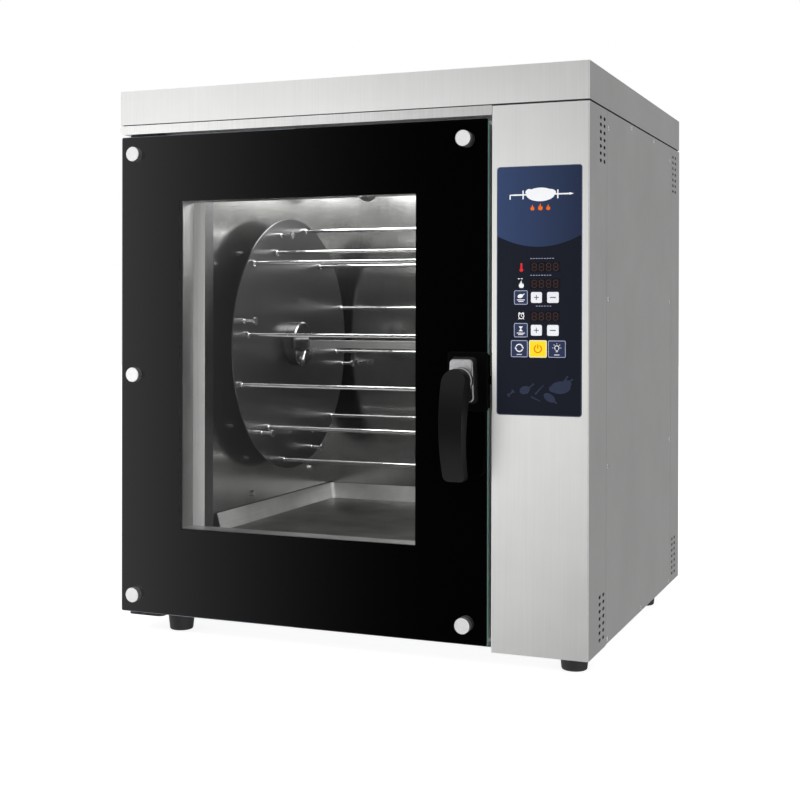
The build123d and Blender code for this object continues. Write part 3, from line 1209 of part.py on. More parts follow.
def cable_gland():
    """Inlet gland in the rear panel; it is empty, with its bore open."""
    shank = rod("y", BODY_D - GLAND_IN, BODY_D, GLAND_X, GLAND_Z, GLAND_R)
    flange = extrude(RegularPolygon(GLAND_R + GLAND_NUT_WALL, 6), GLAND_FLANGE)
    flange = Pos(GLAND_X, BODY_D + GLAND_FLANGE, GLAND_Z) * Rot(90, 0, 0) * flange
    dome = rod("y", BODY_D + GLAND_FLANGE, BODY_D + GLAND_OUT, GLAND_X, GLAND_Z, GLAND_R + GLAND_DOME_WALL)
    dome = fillet(dome.edges().filter_by(GeomType.CIRCLE).sort_by(Axis.Y)[-1], GLAND_DOME_EDGE)
    bore = rod("y", BODY_D - GLAND_IN - 1, BODY_D + GLAND_OUT + 1, GLAND_X, GLAND_Z, CABLE_R)
    return shank + flange + dome - bore


def mains_inlet():
    return group([terminal_block(), cable_gland()])


def exhaust_collar():
    """Steam outlet: a duct from the cavity's back wall, with a wider collar outside the rear panel."""
    end = BODY_D + REAR_REACH
    duct = tube("y", CAVITY_BACK, end, COLLAR_X, COLLAR_Z, DUCT_R, DUCT_R - SHEET)
    return duct + tube("y", BODY_D, end, COLLAR_X, COLLAR_Z, COLLAR_R, DUCT_R - SHEET)


NODES = {
    "top_cap": top_cap,
    "top_deck": top_deck,
    "front_frame": front_frame,
    "control_column": control_column,
    "side_panels": side_panels,
    "rear_corner_posts": rear_corner_posts,
    "rear_panel": rear_panel,
    "base_pan": base_pan,
    "rubber_feet": rubber_feet,
    "screws": screws,
    "cavity_liner": cavity_liner,
    "insulation_slabs": insulation_slabs,
    "door_gasket": door_gasket,
    "heating_elements": heating_elements,
    "cavity_lamp": cavity_lamp,
    "temperature_probe": temperature_probe,
    "tray_rails": tray_rails,
    "exhaust_collar": exhaust_collar,
    "gear_motor": gear_motor,
    "motor_bracket": motor_bracket,
    "shaft_bearings": shaft_bearings,
    "hinge_brackets": hinge_brackets,
    "latch_strike": latch_strike,
    "keypad_panel": keypad_panel,
    "display_modules": display_modules,
    "control_board": control_board,
    "mains_inlet": mains_inlet,
    "door_glass_outer": door_glass_outer,
    "glass_print": glass_print,
    "door_frame": door_frame,
    "door_glass_inner": door_glass_inner,
    "glass_clips": glass_clips,
    "glass_standoffs": glass_standoffs,
    "latch_plate": latch_plate,
    "latch_housing": latch_housing,
    "latch_lever": latch_lever,
    "latch_tongue": latch_tongue,
    "handle_grip": handle_grip,
    "rotor_discs": rotor_discs,
    "disc_hubs": disc_hubs,
    "central_bar": central_bar,
    "rotor_shafts": rotor_shafts,
    "basket_pins": basket_pins,
    "thumb_screws": thumb_screws,
    "drip_tray": drip_tray,
}

os.makedirs("parts", exist_ok=True)
for node_name, make in NODES.items():
    save(node_name, make())
for spit_number in range(SPITS):
    save(f"spit_{spit_number + 1}", spit(spit_number))
for key_name, key_x, key_z, key_width, key_height in keys():
    save(key_name, key(key_x, key_z, key_width, key_height))
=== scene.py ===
import bpy
import bmesh
from math import cos, pi, radians, sin
from mathutils import Matrix, Vector


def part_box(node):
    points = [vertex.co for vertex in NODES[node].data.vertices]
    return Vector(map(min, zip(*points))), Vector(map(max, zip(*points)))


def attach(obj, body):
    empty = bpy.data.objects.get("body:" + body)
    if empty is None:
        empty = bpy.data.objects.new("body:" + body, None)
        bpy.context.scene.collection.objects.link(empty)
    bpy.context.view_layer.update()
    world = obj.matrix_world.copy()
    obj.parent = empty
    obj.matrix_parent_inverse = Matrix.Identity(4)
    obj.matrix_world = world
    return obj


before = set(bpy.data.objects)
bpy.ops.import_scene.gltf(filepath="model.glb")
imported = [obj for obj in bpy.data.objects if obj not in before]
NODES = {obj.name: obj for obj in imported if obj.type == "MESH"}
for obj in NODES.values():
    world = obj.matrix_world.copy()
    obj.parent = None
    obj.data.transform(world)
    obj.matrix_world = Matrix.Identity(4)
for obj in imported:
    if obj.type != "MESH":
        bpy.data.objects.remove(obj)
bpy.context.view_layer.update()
MM = 0.001


# ---------------------------------------------------------------- node helpers
def lin(red, green, blue):
    """A linear colour from an 8 bit one."""
    def one(v):
        v /= 255
        return v / 12.92 if v <= 0.04045 else ((v + 0.055) / 1.055) ** 2.4
    return (one(red), one(green), one(blue), 1.0)


class Tree:
    """A material's or the world's node tree, with short calls to build it."""

    def __init__(self, nt, clear=True):
        self.nt = nt
        if clear:
            nt.nodes.clear()

    def node(self, kind, **values):
        """A new node; each value goes to a socket, or to a property where no socket has that name."""
        n = self.nt.nodes.new(kind)
        for key, value in values.items():
            if hasattr(n, key) and key not in n.inputs:
                setattr(n, key, value)
            else:
                self.put(n.inputs[key], value)
        return n

    def put(self, socket, value):
        """Link a socket to the value, or set the socket to a plain number or colour."""
        if isinstance(value, bpy.types.NodeSocket):
            self.nt.links.new(value, socket)
        else:
            socket.default_value = value

    def math(self, operation, a, b=None):
        n = self.nt.nodes.new("ShaderNodeMath")
        n.operation = operation
        for socket, value in zip(n.inputs, (a, b)):
            if value is not None:
                self.put(socket, value)
        return n.outputs[0]

    def ramp(self, value, low, high, to_low=0.0, to_high=1.0, smooth=True):
        """Map low..high to to_low..to_high, held at both ends."""
        n = self.nt.nodes.new("ShaderNodeMapRange")
        n.interpolation_type = "SMOOTHSTEP" if smooth else "LINEAR"
        for socket, v in zip(n.inputs, (value, low, high, to_low, to_high)):
            self.put(socket, v)
        return n.outputs[0]

    def mix(self, share, a, b):
        n = self.nt.nodes.new("ShaderNodeMix")
        n.data_type = "RGBA"
        self.put(n.inputs[0], share)
        self.put(n.inputs[6], a)
        self.put(n.inputs[7], b)
        return n.outputs[2]

    def place(self):
        """The place on the object, in metres."""
        return self.node("ShaderNodeTexCoord").outputs["Object"]

    def noise(self, scale, detail=3.0, rough=0.55, shift=0.0):
        """Noise with a scale per metre on each axis."""
        if not isinstance(scale, tuple):
            scale = (scale, scale, scale)
        m = self.nt.nodes.new("ShaderNodeMapping")
        self.put(m.inputs["Vector"], self.place())
        m.inputs["Scale"].default_value = scale
        m.inputs["Location"].default_value = (shift, shift * 0.7, shift * 1.3)
        n = self.nt.nodes.new("ShaderNodeTexNoise")
        self.put(n.inputs["Vector"], m.outputs[0])
        n.inputs["Scale"].default_value = 1.0
        n.inputs["Detail"].default_value = detail
        n.inputs["Roughness"].default_value = rough
        return n.outputs["Fac"]

    def bump(self, height, distance, strength=1.0):
        n = self.nt.nodes.new("ShaderNodeBump")
        n.inputs["Strength"].default_value = strength
        n.inputs["Distance"].default_value = distance
        self.put(n.inputs["Height"], height)
        return n.outputs[0]


def new_material(name):
    m = bpy.data.materials.new(name)
    m.use_nodes = True
    return m, Tree(m.node_tree)


def close(t, shader):
    t.node("ShaderNodeOutputMaterial", Surface=shader)


def even(scale):
    """Grain without a direction."""
    return (scale, scale, scale)


# Besides the fine grain there is a wider one: its scale is WIDER times the fine one's on each axis
# where that is above ACROSS, so it stays as long as the fine one along the brushing.
ACROSS = 50
WIDER = 0.22


def metal(name, dark, light, rough, grain, blotch=6.0, bump=0.00002, blotch_share=0.35,
          rough_change=0.06):
    """Sheet or machined metal: fine grain at a scale per metre on each axis, with slow blotches
    from handling."""
    m, t = new_material(name)
    fine = t.noise(grain, 3.0, 0.6)
    wide = t.noise(tuple(g * WIDER if g > ACROSS else g for g in grain), 2.0, 0.5, shift=3.0)
    slow = t.noise(blotch, 3.0, 0.6, shift=7.0)
    streak = t.math("ADD", t.math("MULTIPLY", fine, 0.6), t.math("MULTIPLY", wide, 0.4))
    share = t.math("ADD", t.math("MULTIPLY", streak, 1 - blotch_share),
                   t.math("MULTIPLY", slow, blotch_share))
    colour = t.mix(t.ramp(share, 0.32, 0.68), dark, light)
    roughness = t.math("ADD", rough - rough_change, t.math("MULTIPLY", share, rough_change * 2))
    b = t.node("ShaderNodeBsdfPrincipled", **{
        "Base Color": colour, "Metallic": 1.0, "Roughness": roughness,
        "Normal": t.bump(streak, bump, 0.6)})
    close(t, b.outputs[0])
    return m


def painted_shade_on_facing(material, axis, low, high, dark, light):
    """Give the faces that look along an axis (0, 1, 2) another colour, in slow patches between
    two tones: painted shade that darkens those faces. The change runs over low..high of that
    part of the normal."""
    t = Tree(material.node_tree, clear=False)
    shader = next(n for n in t.nt.nodes if n.type == "BSDF_PRINCIPLED")
    base = shader.inputs["Base Color"].links[0].from_socket
    normal = t.node("ShaderNodeSeparateXYZ", Vector=t.node("ShaderNodeTexCoord").outputs["Normal"])
    colour = t.mix(t.ramp(t.noise(11.0, 4.0, 0.6, shift=2.0), 0.35, 0.65), dark, light)
    t.put(shader.inputs["Base Color"], t.mix(t.ramp(normal.outputs[axis], low, high), base, colour))


COAT_ROUGH = 0.2


def plastic(name, dark, light, rough, scale=900.0, bump=0.00003, coat=0.0, specular=0.5):
    """Moulded plastic, rubber or paint: fine orange peel, with slow changes of colour."""
    m, t = new_material(name)
    fine = t.noise(scale, 4.0, 0.6)
    slow = t.noise(9.0, 3.0, 0.6, shift=5.0)
    share = t.math("ADD", t.math("MULTIPLY", fine, 0.45), t.math("MULTIPLY", slow, 0.55))
    colour = t.mix(t.ramp(share, 0.3, 0.7), dark, light)
    roughness = t.math("ADD", rough - 0.05, t.math("MULTIPLY", slow, 0.1))
    b = t.node("ShaderNodeBsdfPrincipled", **{
        "Base Color": colour, "Roughness": roughness, "Coat Weight": coat,
        "Coat Roughness": COAT_ROUGH, "Specular IOR Level": specular,
        "Normal": t.bump(fine, bump, 0.7)})
    close(t, b.outputs[0])
    return m


# ---------------------------------------------------------------- materials
# Grain scales per metre on X, Y and Z: low along the brushing or drawing, high across it.
UPRIGHT = (900.0, 900.0, 4.0)
ALONG_Y = (900.0, 4.0, 900.0)
ROD_GRAIN = (40.0, 1200.0, 1200.0)
BAR_GRAIN = (30.0, 900.0, 900.0)
TURNED_ROUND_X = (900.0, 60.0, 60.0)

steel = metal("brushed_steel_upright", lin(226, 226, 225), lin(235, 235, 234), 0.38, UPRIGHT,
              bump=0.000009, blotch_share=0.45)
cap_steel = metal("brushed_steel_cap", lin(230, 230, 229), lin(239, 239, 238), 0.36, UPRIGHT,
                  bump=0.000008, blotch_share=0.45)
# The frame's faces that look to +X, such as the opening's left jamb, are painted darker: painted shade, for
# the jamb lies in shadow.
frame_steel_shaded_jamb = metal("brushed_steel_frame", lin(214, 214, 213), lin(232, 232, 231), 0.48, UPRIGHT,
                    bump=0.000009)
painted_shade_on_facing(frame_steel_shaded_jamb, 0, 0.8, 0.95, lin(104, 104, 105), lin(116, 116, 117))
# Dark paint; on the top deck behind the seam under the cap the dark stands in for shade: painted shade.
dark_steel = plastic("dark_paint_and_seam_shade", lin(34, 34, 36), lin(52, 52, 55), 0.5)
galvanised = metal("galvanised_sheet", lin(150, 153, 156), lin(188, 190, 192), 0.5, even(60.0),
                   blotch=30.0)
screw_steel = metal("screw_steel_bright", lin(190, 190, 190), lin(236, 236, 236), 0.22, even(500.0))
liner = metal("liner_steel_bright", lin(180, 180, 179), lin(198, 198, 197), 0.19, UPRIGHT,
              blotch=9.0, bump=0.000006, blotch_share=0.5, rough_change=0.03)
inner_steel = metal("inner_steel_satin", lin(176, 176, 175), lin(202, 202, 201), 0.38, UPRIGHT,
                    blotch=9.0, blotch_share=0.5)
# The tray's walls are brushed; its floor is painted darker, a painted dark reflection.
tray_steel_shaded_floor = metal("tray_steel_satin", lin(206, 206, 205), lin(230, 230, 229), 0.42, ALONG_Y,
                   blotch=14.0, blotch_share=0.5)
painted_shade_on_facing(tray_steel_shaded_floor, 2, 0.9, 0.98, lin(88, 87, 85), lin(108, 107, 105))
element = metal("element_steel_heated", lin(70, 64, 58), lin(104, 98, 92), 0.5, even(300.0),
                blotch=20.0)
disc_steel = metal("disc_steel_satin", lin(106, 106, 106), lin(116, 116, 116), 0.29, even(1400.0),
                   blotch=5.0, bump=0.000001, blotch_share=0.6, rough_change=0.015)
hub_steel = metal("hub_steel_turned", lin(96, 96, 96), lin(150, 150, 150), 0.26, TURNED_ROUND_X)
rod_steel = metal("rod_steel_polished", lin(214, 214, 213), lin(246, 246, 245), 0.14, ROD_GRAIN,
                  bump=0.00001)
bar_steel = metal("bar_steel_satin", lin(222, 222, 221), lin(244, 244, 243), 0.42, BAR_GRAIN,
                  bump=0.000006)
standoff = metal("standoff_steel_turned", lin(232, 232, 232), lin(250, 250, 250), 0.42, even(700.0))
chrome = metal("chrome_satin", lin(152, 152, 154), lin(178, 178, 180), 0.33, even(260.0),
               bump=0.00001)
cast = metal("bearing_cast", lin(88, 88, 90), lin(132, 132, 134), 0.5, even(420.0), bump=0.0001)
motor = plastic("motor_paint_grey", lin(66, 70, 74), lin(86, 90, 94), 0.45, 420.0, 0.00006)
rubber = plastic("rubber_black", lin(20, 20, 20), lin(38, 38, 38), 0.62, 700.0, 0.00006)
silicone = plastic("silicone_dark", lin(50, 50, 52), lin(74, 74, 76), 0.5, 260.0, 0.00004)
black_plastic = plastic("plastic_black_satin", lin(18, 18, 19), lin(32, 32, 33), 0.42, 800.0)
latch_black = plastic("latch_plate_black", lin(2, 2, 2), lin(4, 4, 4), 0.5, 1100.0, 0.00002,
                      specular=0.06)
grip_black = plastic("grip_black_satin", lin(7, 7, 7), lin(12, 12, 12), 0.4, 1300.0, 0.00002,
                     specular=0.2)
lamp_glass = plastic("lamp_lens_frosted", lin(222, 220, 206), lin(244, 242, 232), 0.25, 300.0,
                     0.00003, coat=0.5)


def wool():
    """Mineral wool: long crossed fibres in ochre."""
    m, t = new_material("mineral_wool_fibres")
    a = t.noise((40.0, 900.0, 300.0), 4.0, 0.7)
    b = t.noise((900.0, 40.0, 300.0), 4.0, 0.7, shift=9.0)
    fibres = t.math("MAXIMUM", a, b)
    shader = t.node("ShaderNodeBsdfPrincipled", **{
        "Base Color": t.mix(t.ramp(fibres, 0.45, 0.75), lin(150, 128, 84), lin(214, 196, 150)),
        "Roughness": 0.95, "Normal": t.bump(fibres, 0.0012)})
    close(t, shader.outputs[0])
    return m


def board():
    """Green circuit board with fine tracks and pale pads."""
    m, t = new_material("board_green_tracks")
    tracks = t.noise((500.0, 500.0, 60.0), 1.0, 0.4)
    pads = t.noise(420.0, 0.0, 0.5, shift=4.0)
    green = t.mix(t.ramp(tracks, 0.48, 0.54), lin(8, 62, 34), lin(20, 96, 54))
    shader = t.node("ShaderNodeBsdfPrincipled", **{
        "Base Color": t.mix(t.ramp(pads, 0.70, 0.73), green, lin(190, 184, 160)),
        "Roughness": 0.35, "Normal": t.bump(tracks, 0.00005)})
    close(t, shader.outputs[0])
    return m


def pane(node, name, ior, right_edge, left_edge, border, window):
    """Glass: it mirrors at its front face. In the window it lets the rest through, and around it
    there is the black of the print behind. Its right edge shows its colour; its left edge and a
    narrow border beside it have a tone of painted light, the other edges are dark."""
    m, t = new_material(name)
    normal = t.node("ShaderNodeSeparateXYZ", Vector=t.node("ShaderNodeTexCoord").outputs["Normal"])
    place = t.node("ShaderNodeSeparateXYZ", Vector=t.place())
    x, z = place.outputs[0], place.outputs[2]
    low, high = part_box(node)
    flat = t.math("ABSOLUTE", normal.outputs[1])
    geometry = t.node("ShaderNodeNewGeometry")
    front = t.math("SUBTRACT", 1.0, geometry.outputs["Backfacing"])
    fresnel = t.node("ShaderNodeFresnel", IOR=ior)
    smear = t.noise(5.0, 3.0, 0.6)
    mirror = t.node("ShaderNodeBsdfGlossy", Color=(1, 1, 1, 1),
                    Roughness=t.math("MULTIPLY", smear, 0.03))
    clear = t.node("ShaderNodeBsdfTransparent", Color=lin(253, 253, 253))
    black = t.node("ShaderNodeBsdfDiffuse", Color=(0.0008, 0.0008, 0.0009, 1))
    (x0, x1), (z0, z1) = window
    from_middle_x = t.math("ABSOLUTE", t.math("SUBTRACT", x, (x0 + x1) / 2))
    from_middle_z = t.math("ABSOLUTE", t.math("SUBTRACT", z, (z0 + z1) / 2))
    in_x = t.math("LESS_THAN", from_middle_x, (x1 - x0) / 2)
    in_z = t.math("LESS_THAN", from_middle_z, (z1 - z0) / 2)
    behind = t.node("ShaderNodeMixShader", Fac=t.math("MULTIPLY", in_x, in_z))
    t.nt.links.new(black.outputs[0], behind.inputs[1])
    t.nt.links.new(clear.outputs[0], behind.inputs[2])
    through = t.node("ShaderNodeMixShader", Fac=t.math("MULTIPLY", fresnel.outputs[0], front))
    t.nt.links.new(behind.outputs[0], through.inputs[1])
    t.nt.links.new(mirror.outputs[0], through.inputs[2])
    grain = t.noise((60.0, 60.0, 8.0), 3.0)
    sideways = t.ramp(t.math("ABSOLUTE", normal.outputs[0]), 0.8, 0.9)
    rim_colour = t.mix(sideways, lin(14, 17, 16), t.mix(grain, right_edge[0], right_edge[1]))
    left_half = t.math("LESS_THAN", x, (low[0] + high[0]) / 2)
    # The left edge and the border beside it get a tone of painted light.
    rim_colour = t.mix(left_half, rim_colour, t.mix(grain, left_edge[0], left_edge[1]))
    rim = t.node("ShaderNodeBsdfPrincipled", **{
        "Base Color": rim_colour, "Roughness": 0.3, "Specular IOR Level": 0.2})
    inside = t.math("GREATER_THAN", x, low[0] + border)
    whole = t.node("ShaderNodeMixShader", Fac=t.math("MULTIPLY", t.ramp(flat, 0.90, 0.97), inside))
    t.nt.links.new(rim.outputs[0], whole.inputs[1])
    t.nt.links.new(through.outputs[0], whole.inputs[2])
    close(t, whole.outputs[0])
    return m


# The inner glass overlaps the clear window by 10 mm on each side.
INNER_LOW, INNER_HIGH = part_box("door_glass_inner")
LAP = 10 * MM
WINDOW = ((INNER_LOW[0] + LAP, INNER_HIGH[0] - LAP), (INNER_LOW[2] + LAP, INNER_HIGH[2] - LAP))
INNER_PANE = ((INNER_LOW[0], INNER_HIGH[0]), (INNER_LOW[2], INNER_HIGH[2]))
GLASS_IOR = 1.52
QUIET_IOR = 1.2          # low, so that the inner glass mirrors less than the outer one
OUTER_BORDER = 2.1 * MM
outer_glass = pane("door_glass_outer", "door_glass_clear", GLASS_IOR,
                   (lin(112, 172, 160), lin(150, 200, 188)), (lin(84, 96, 108), lin(104, 116, 128)),
                   OUTER_BORDER, WINDOW)
inner_glass = pane("door_glass_inner", "inner_glass_clear", QUIET_IOR,
                   (lin(70, 110, 100), lin(96, 136, 126)), (lin(60, 66, 66), lin(72, 78, 78)),
                   0.0, INNER_PANE)


def ceramic_print():
    """Black ceramic print; the glass in front of it does the mirroring."""
    m, t = new_material("ceramic_print_black")
    grain = t.noise(1500.0, 2.0)
    shader = t.node("ShaderNodeBsdfPrincipled", **{
        "Base Color": t.mix(grain, (0.0004, 0.0004, 0.0005, 1), (0.0012, 0.0012, 0.0013, 1)),
        "Roughness": 0.9, "Specular IOR Level": 0.0, "Normal": t.bump(grain, 0.00001)})
    close(t, shader.outputs[0])
    return m


# The head of the key pad's film ends in an arc, in metres: it runs ARC_MIDDLE over the pad's lower
# edge in the middle and rises to both sides by ARC_BEND times the square of the distance.
ARC_MIDDLE = 0.310
ARC_BEND = 3.24
ARC_EDGE = 0.0004
PAD_HALF = 0.08


def pad_film():
    """Printed film of the controls: a lighter blue head over a near black field, both with painted
    shade that darkens them towards the right.
    """
    m, t = new_material("keypad_film_printed")
    low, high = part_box("keypad_panel")
    axes = t.node("ShaderNodeSeparateXYZ", Vector=t.place())
    x = t.math("SUBTRACT", axes.outputs[0], (low[0] + high[0]) / 2)
    z = t.math("SUBTRACT", axes.outputs[2], low[2])
    arc = t.math("ADD", t.math("MULTIPLY", t.math("MULTIPLY", x, x), ARC_BEND), ARC_MIDDLE)
    above = t.ramp(t.math("SUBTRACT", z, arc), -ARC_EDGE, ARC_EDGE)
    # Both tones grow darker from left to right across the pad: painted shade.
    across = t.ramp(x, -PAD_HALF, PAD_HALF, smooth=False)
    head = t.mix(across, lin(52, 68, 104), lin(34, 44, 68))
    field = t.mix(across, lin(24, 28, 38), lin(20, 23, 34))
    weave = t.noise(2600.0, 2.0)
    colour = t.mix(above, field, head)
    shader = t.node("ShaderNodeBsdfPrincipled", **{
        "Base Color": t.mix(t.math("MULTIPLY", weave, 0.1), colour, lin(50, 56, 74)),
        "Roughness": t.math("ADD", 0.42, t.math("MULTIPLY", weave, 0.1)),
        "Specular IOR Level": 0.12, "Normal": t.bump(weave, 0.00001)})
    close(t, shader.outputs[0])
    return m


def film(name, colour, second, rough=0.35):
    """Smooth printed film between two 8 bit colours."""
    return plastic(name, lin(*colour), lin(*second), rough, 2600.0, 0.00001, specular=0.35)


film_blue = film("key_film_blue", (40, 48, 78), (48, 56, 88))
film_white = film("key_film_white", (226, 228, 234), (244, 245, 248))
film_yellow = film("key_film_yellow", (250, 214, 10), (255, 228, 30))
print_light = film("print_light_blue", (150, 158, 184), (172, 179, 201))
print_rim = film("print_rim_blue", (66, 76, 104), (80, 90, 118))
print_white = film("print_white", (232, 234, 238), (248, 249, 250))
print_orange = film("print_orange", (226, 92, 16), (240, 118, 24))
print_red = film("print_red", (206, 30, 34), (226, 48, 46))
print_blue = film("print_silhouette_blue", (42, 50, 70), (48, 56, 78))
print_navy = film("print_navy", (70, 80, 112), (86, 96, 126))
digit_film = film("display_segments_unlit", (54, 40, 39), (66, 47, 45), 0.3)
window_film = film("display_window_dark", (24, 22, 27), (34, 30, 36), 0.2)

FINISH = {
    "top_cap": cap_steel, "top_deck": dark_steel, "front_frame": frame_steel_shaded_jamb, "control_column": steel,
    "side_panels": steel, "rear_corner_posts": steel, "rear_panel": steel, "base_pan": galvanised,
    "rubber_feet": rubber, "screws": screw_steel, "cavity_liner": liner, "insulation_slabs": wool(),
    "door_gasket": silicone, "heating_elements": element, "cavity_lamp": lamp_glass,
    "temperature_probe": screw_steel, "tray_rails": inner_steel, "exhaust_collar": inner_steel,
    "gear_motor": motor, "motor_bracket": galvanised, "shaft_bearings": cast,
    "hinge_brackets": dark_steel, "latch_strike": screw_steel, "keypad_panel": pad_film(),
    "display_modules": window_film,
    "control_board": board(), "mains_inlet": black_plastic, "door_glass_outer": outer_glass,
    "glass_print": ceramic_print(), "door_frame": inner_steel, "door_glass_inner": inner_glass,
    "glass_clips": screw_steel, "glass_standoffs": standoff, "latch_plate": latch_black,
    "latch_housing": chrome, "latch_lever": chrome, "latch_tongue": screw_steel, "handle_grip": grip_black,
    "rotor_discs": disc_steel, "disc_hubs": hub_steel, "central_bar": bar_steel, "rotor_shafts": rod_steel,
    "basket_pins": rod_steel, "thumb_screws": screw_steel, "drip_tray": tray_steel_shaded_floor,
    "key_temperature": film_blue, "key_temperature_up": film_white, "key_temperature_down": film_white,
    "key_time": film_blue, "key_time_up": film_white, "key_time_down": film_white,
    "key_rotate": film_blue, "key_power": film_yellow, "key_lamp": film_blue,
}
for number in range(1, 7):
    FINISH[f"spit_{number}"] = rod_steel
for name, obj in NODES.items():
    obj.data.materials.clear()
    obj.data.materials.append(FINISH[name])


# ---------------------------------------------------------------- printed shapes
# A shape is ("fill", outline) or ("band", one side, other side, whether it closes). Each shape of a
# piece stands STEP millimetres higher than the one before, and after STEPS of them the heights
# start again, so that faces don't share a plane where they cross.
STEP = 0.01
STEPS = 12


def ellipse(x, z, rx, rz, turn=0.0, steps=28):
    """A filled ellipse, turned by an angle in degrees."""
    a = radians(turn)
    points = []
    for i in range(steps):
        u = rx * cos(2 * pi * i / steps)
        v = rz * sin(2 * pi * i / steps)
        points.append((x + u * cos(a) - v * sin(a), z + u * sin(a) + v * cos(a)))
    return ("fill", points)


def rounded(x, z, width, height, radius, steps=5):
    """The outline of a rectangle with round corners."""
    points = []
    for cx, cz, start in ((1, 1, 0), (-1, 1, 90), (-1, -1, 180), (1, -1, 270)):
        for i in range(steps + 1):
            a = radians(start + 90 * i / steps)
            points.append((x + cx * (width / 2 - radius) + radius * cos(a),
                           z + cz * (height / 2 - radius) + radius * sin(a)))
    return points


def frame_of(x, z, width, height, radius, line):
    """A rounded rectangle drawn as a line of the given width, inside that size."""
    inner = rounded(x, z, width - 2 * line, height - 2 * line, max(radius - line, 0.2))
    return ("band", rounded(x, z, width, height, radius), inner, True)


def arc_band(x, z, radius, line, start, end, steps=24):
    """An arc drawn as a line of the given width, or a ring where it goes all the way round."""
    outer, inner = [], []
    for i in range(steps + 1):
        a = radians(start + (end - start) * i / steps)
        outer.append((x + (radius + line / 2) * cos(a), z + (radius + line / 2) * sin(a)))
        inner.append((x + (radius - line / 2) * cos(a), z + (radius - line / 2) * sin(a)))
    if abs(end - start) >= 360:
        return ("band", outer[:-1], inner[:-1], True)
    return ("band", outer, inner, False)


def stroke(points, width, end_width=None):
    """A line of the given width through the points."""
    end_width = width if end_width is None else end_width
    left, right = [], []
    for i, (x, z) in enumerate(points):
        x0, z0 = points[max(i - 1, 0)]
        x1, z1 = points[min(i + 1, len(points) - 1)]
        length = ((x1 - x0) ** 2 + (z1 - z0) ** 2) ** 0.5
        share = i / (len(points) - 1)
        half = (width + (end_width - width) * share) / 2
        nx, nz = -(z1 - z0) / length * half, (x1 - x0) / length * half
        left.append((x + nx, z + nz))
        right.append((x - nx, z - nz))
    return ("band", left, right, False)


def printed(name, shapes, origin, face, rise, body, material):
    """Thin closed prisms on a face that looks to the front. Shapes are in millimetres from the
    origin, and rise is the height of the first one."""
    bm = bmesh.new()
    for index, shape in enumerate(shapes):
        lift = rise + (index % STEPS) * STEP
        rings = [shape[1]] if shape[0] == "fill" else [shape[1], shape[2]]
        layers = []
        for y in (face - lift * MM, face):
            layers.append([[bm.verts.new((origin[0] + x * MM, y, origin[1] + z * MM)) for x, z in ring]
                           for ring in rings])
        if shape[0] == "fill":
            (front,), (back,) = layers
            bm.faces.new(front)
            bm.faces.new(back)
            for i in range(len(front)):
                j = (i + 1) % len(front)
                bm.faces.new((front[i], front[j], back[j], back[i]))
        else:
            (fa, fb), (ba, bb) = layers
            count = len(fa)
            for i in range(count if shape[3] else count - 1):
                j = (i + 1) % count
                bm.faces.new((fa[i], fa[j], fb[j], fb[i]))
                bm.faces.new((ba[i], ba[j], bb[j], bb[i]))
                bm.faces.new((fa[i], fa[j], ba[j], ba[i]))
                bm.faces.new((fb[i], fb[j], bb[j], bb[i]))
            if not shape[3]:
                for i in (0, count - 1):
                    bm.faces.new((fa[i], fb[i], bb[i], ba[i]))
    bmesh.ops.triangulate(bm, faces=[f for f in bm.faces if len(f.verts) > 4])
    bmesh.ops.recalc_face_normals(bm, faces=bm.faces)
    mesh = bpy.data.meshes.new(name)
    bm.to_mesh(mesh)
    bm.free()
    obj = bpy.data.objects.new(name, mesh)
    bpy.context.scene.collection.objects.link(obj)
    mesh.materials.append(material)
    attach(obj, body)


PAD_LOW, PAD_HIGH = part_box("keypad_panel")
PAD_FACE = PAD_LOW[1]
PAD = (PAD_LOW[0], PAD_LOW[2])
PAD_W = (PAD_HIGH[0] - PAD_LOW[0]) / MM
PAD_H = (PAD_HIGH[2] - PAD_LOW[2]) / MM
RISE = 0.12              # how far a print stands out of its face, in millimetres


def on_pad(name, shapes, material):
    """Shapes on the key pad, in millimetres from its lower left corner."""
    printed(name, shapes, PAD, PAD_FACE, RISE, "cabinet", material)


on_pad("pad_rim", [frame_of(PAD_W / 2, PAD_H / 2, PAD_W, PAD_H, 5.0, 0.8)], print_rim)

# A spit with a roast over flames: a plain sign of the oven's use.
sign = [stroke([(25, 398), (25, 406), (33, 406), (138, 406)], 2.6), ellipse(83, 406, 27, 12.5)]
sign += [("fill", [(138, 408.4), (146, 406), (138, 403.6)]), stroke([(50, 398), (50, 414)], 2.4)]
sign += [stroke([(116, 398), (116, 414)], 2.4), ellipse(60, 412, 6, 4, 30), ellipse(106, 411, 7, 3.6, -24)]
on_pad("pad_sign", sign, print_white)


FLAME_WIDTH = 0.7        # as a share of the flame's height


def flame(x, z, size):
    """A flame that stands on its foot at x, z."""
    outline = [(-0.50, 0.30), (-0.42, 0.10), (-0.22, 0.0), (0.22, 0.0), (0.42, 0.10), (0.50, 0.30),
               (0.40, 0.52), (0.26, 0.66), (0.24, 0.44), (0.10, 0.62), (0.04, 1.0), (-0.16, 0.78),
               (-0.26, 0.52), (-0.34, 0.62)]
    return ("fill", [(x + u * size * FLAME_WIDTH, z + v * size) for u, v in outline])


on_pad("pad_sign_flames", [flame(68, 377, 11), flame(83, 377, 13), flame(98, 377, 11)], print_orange)

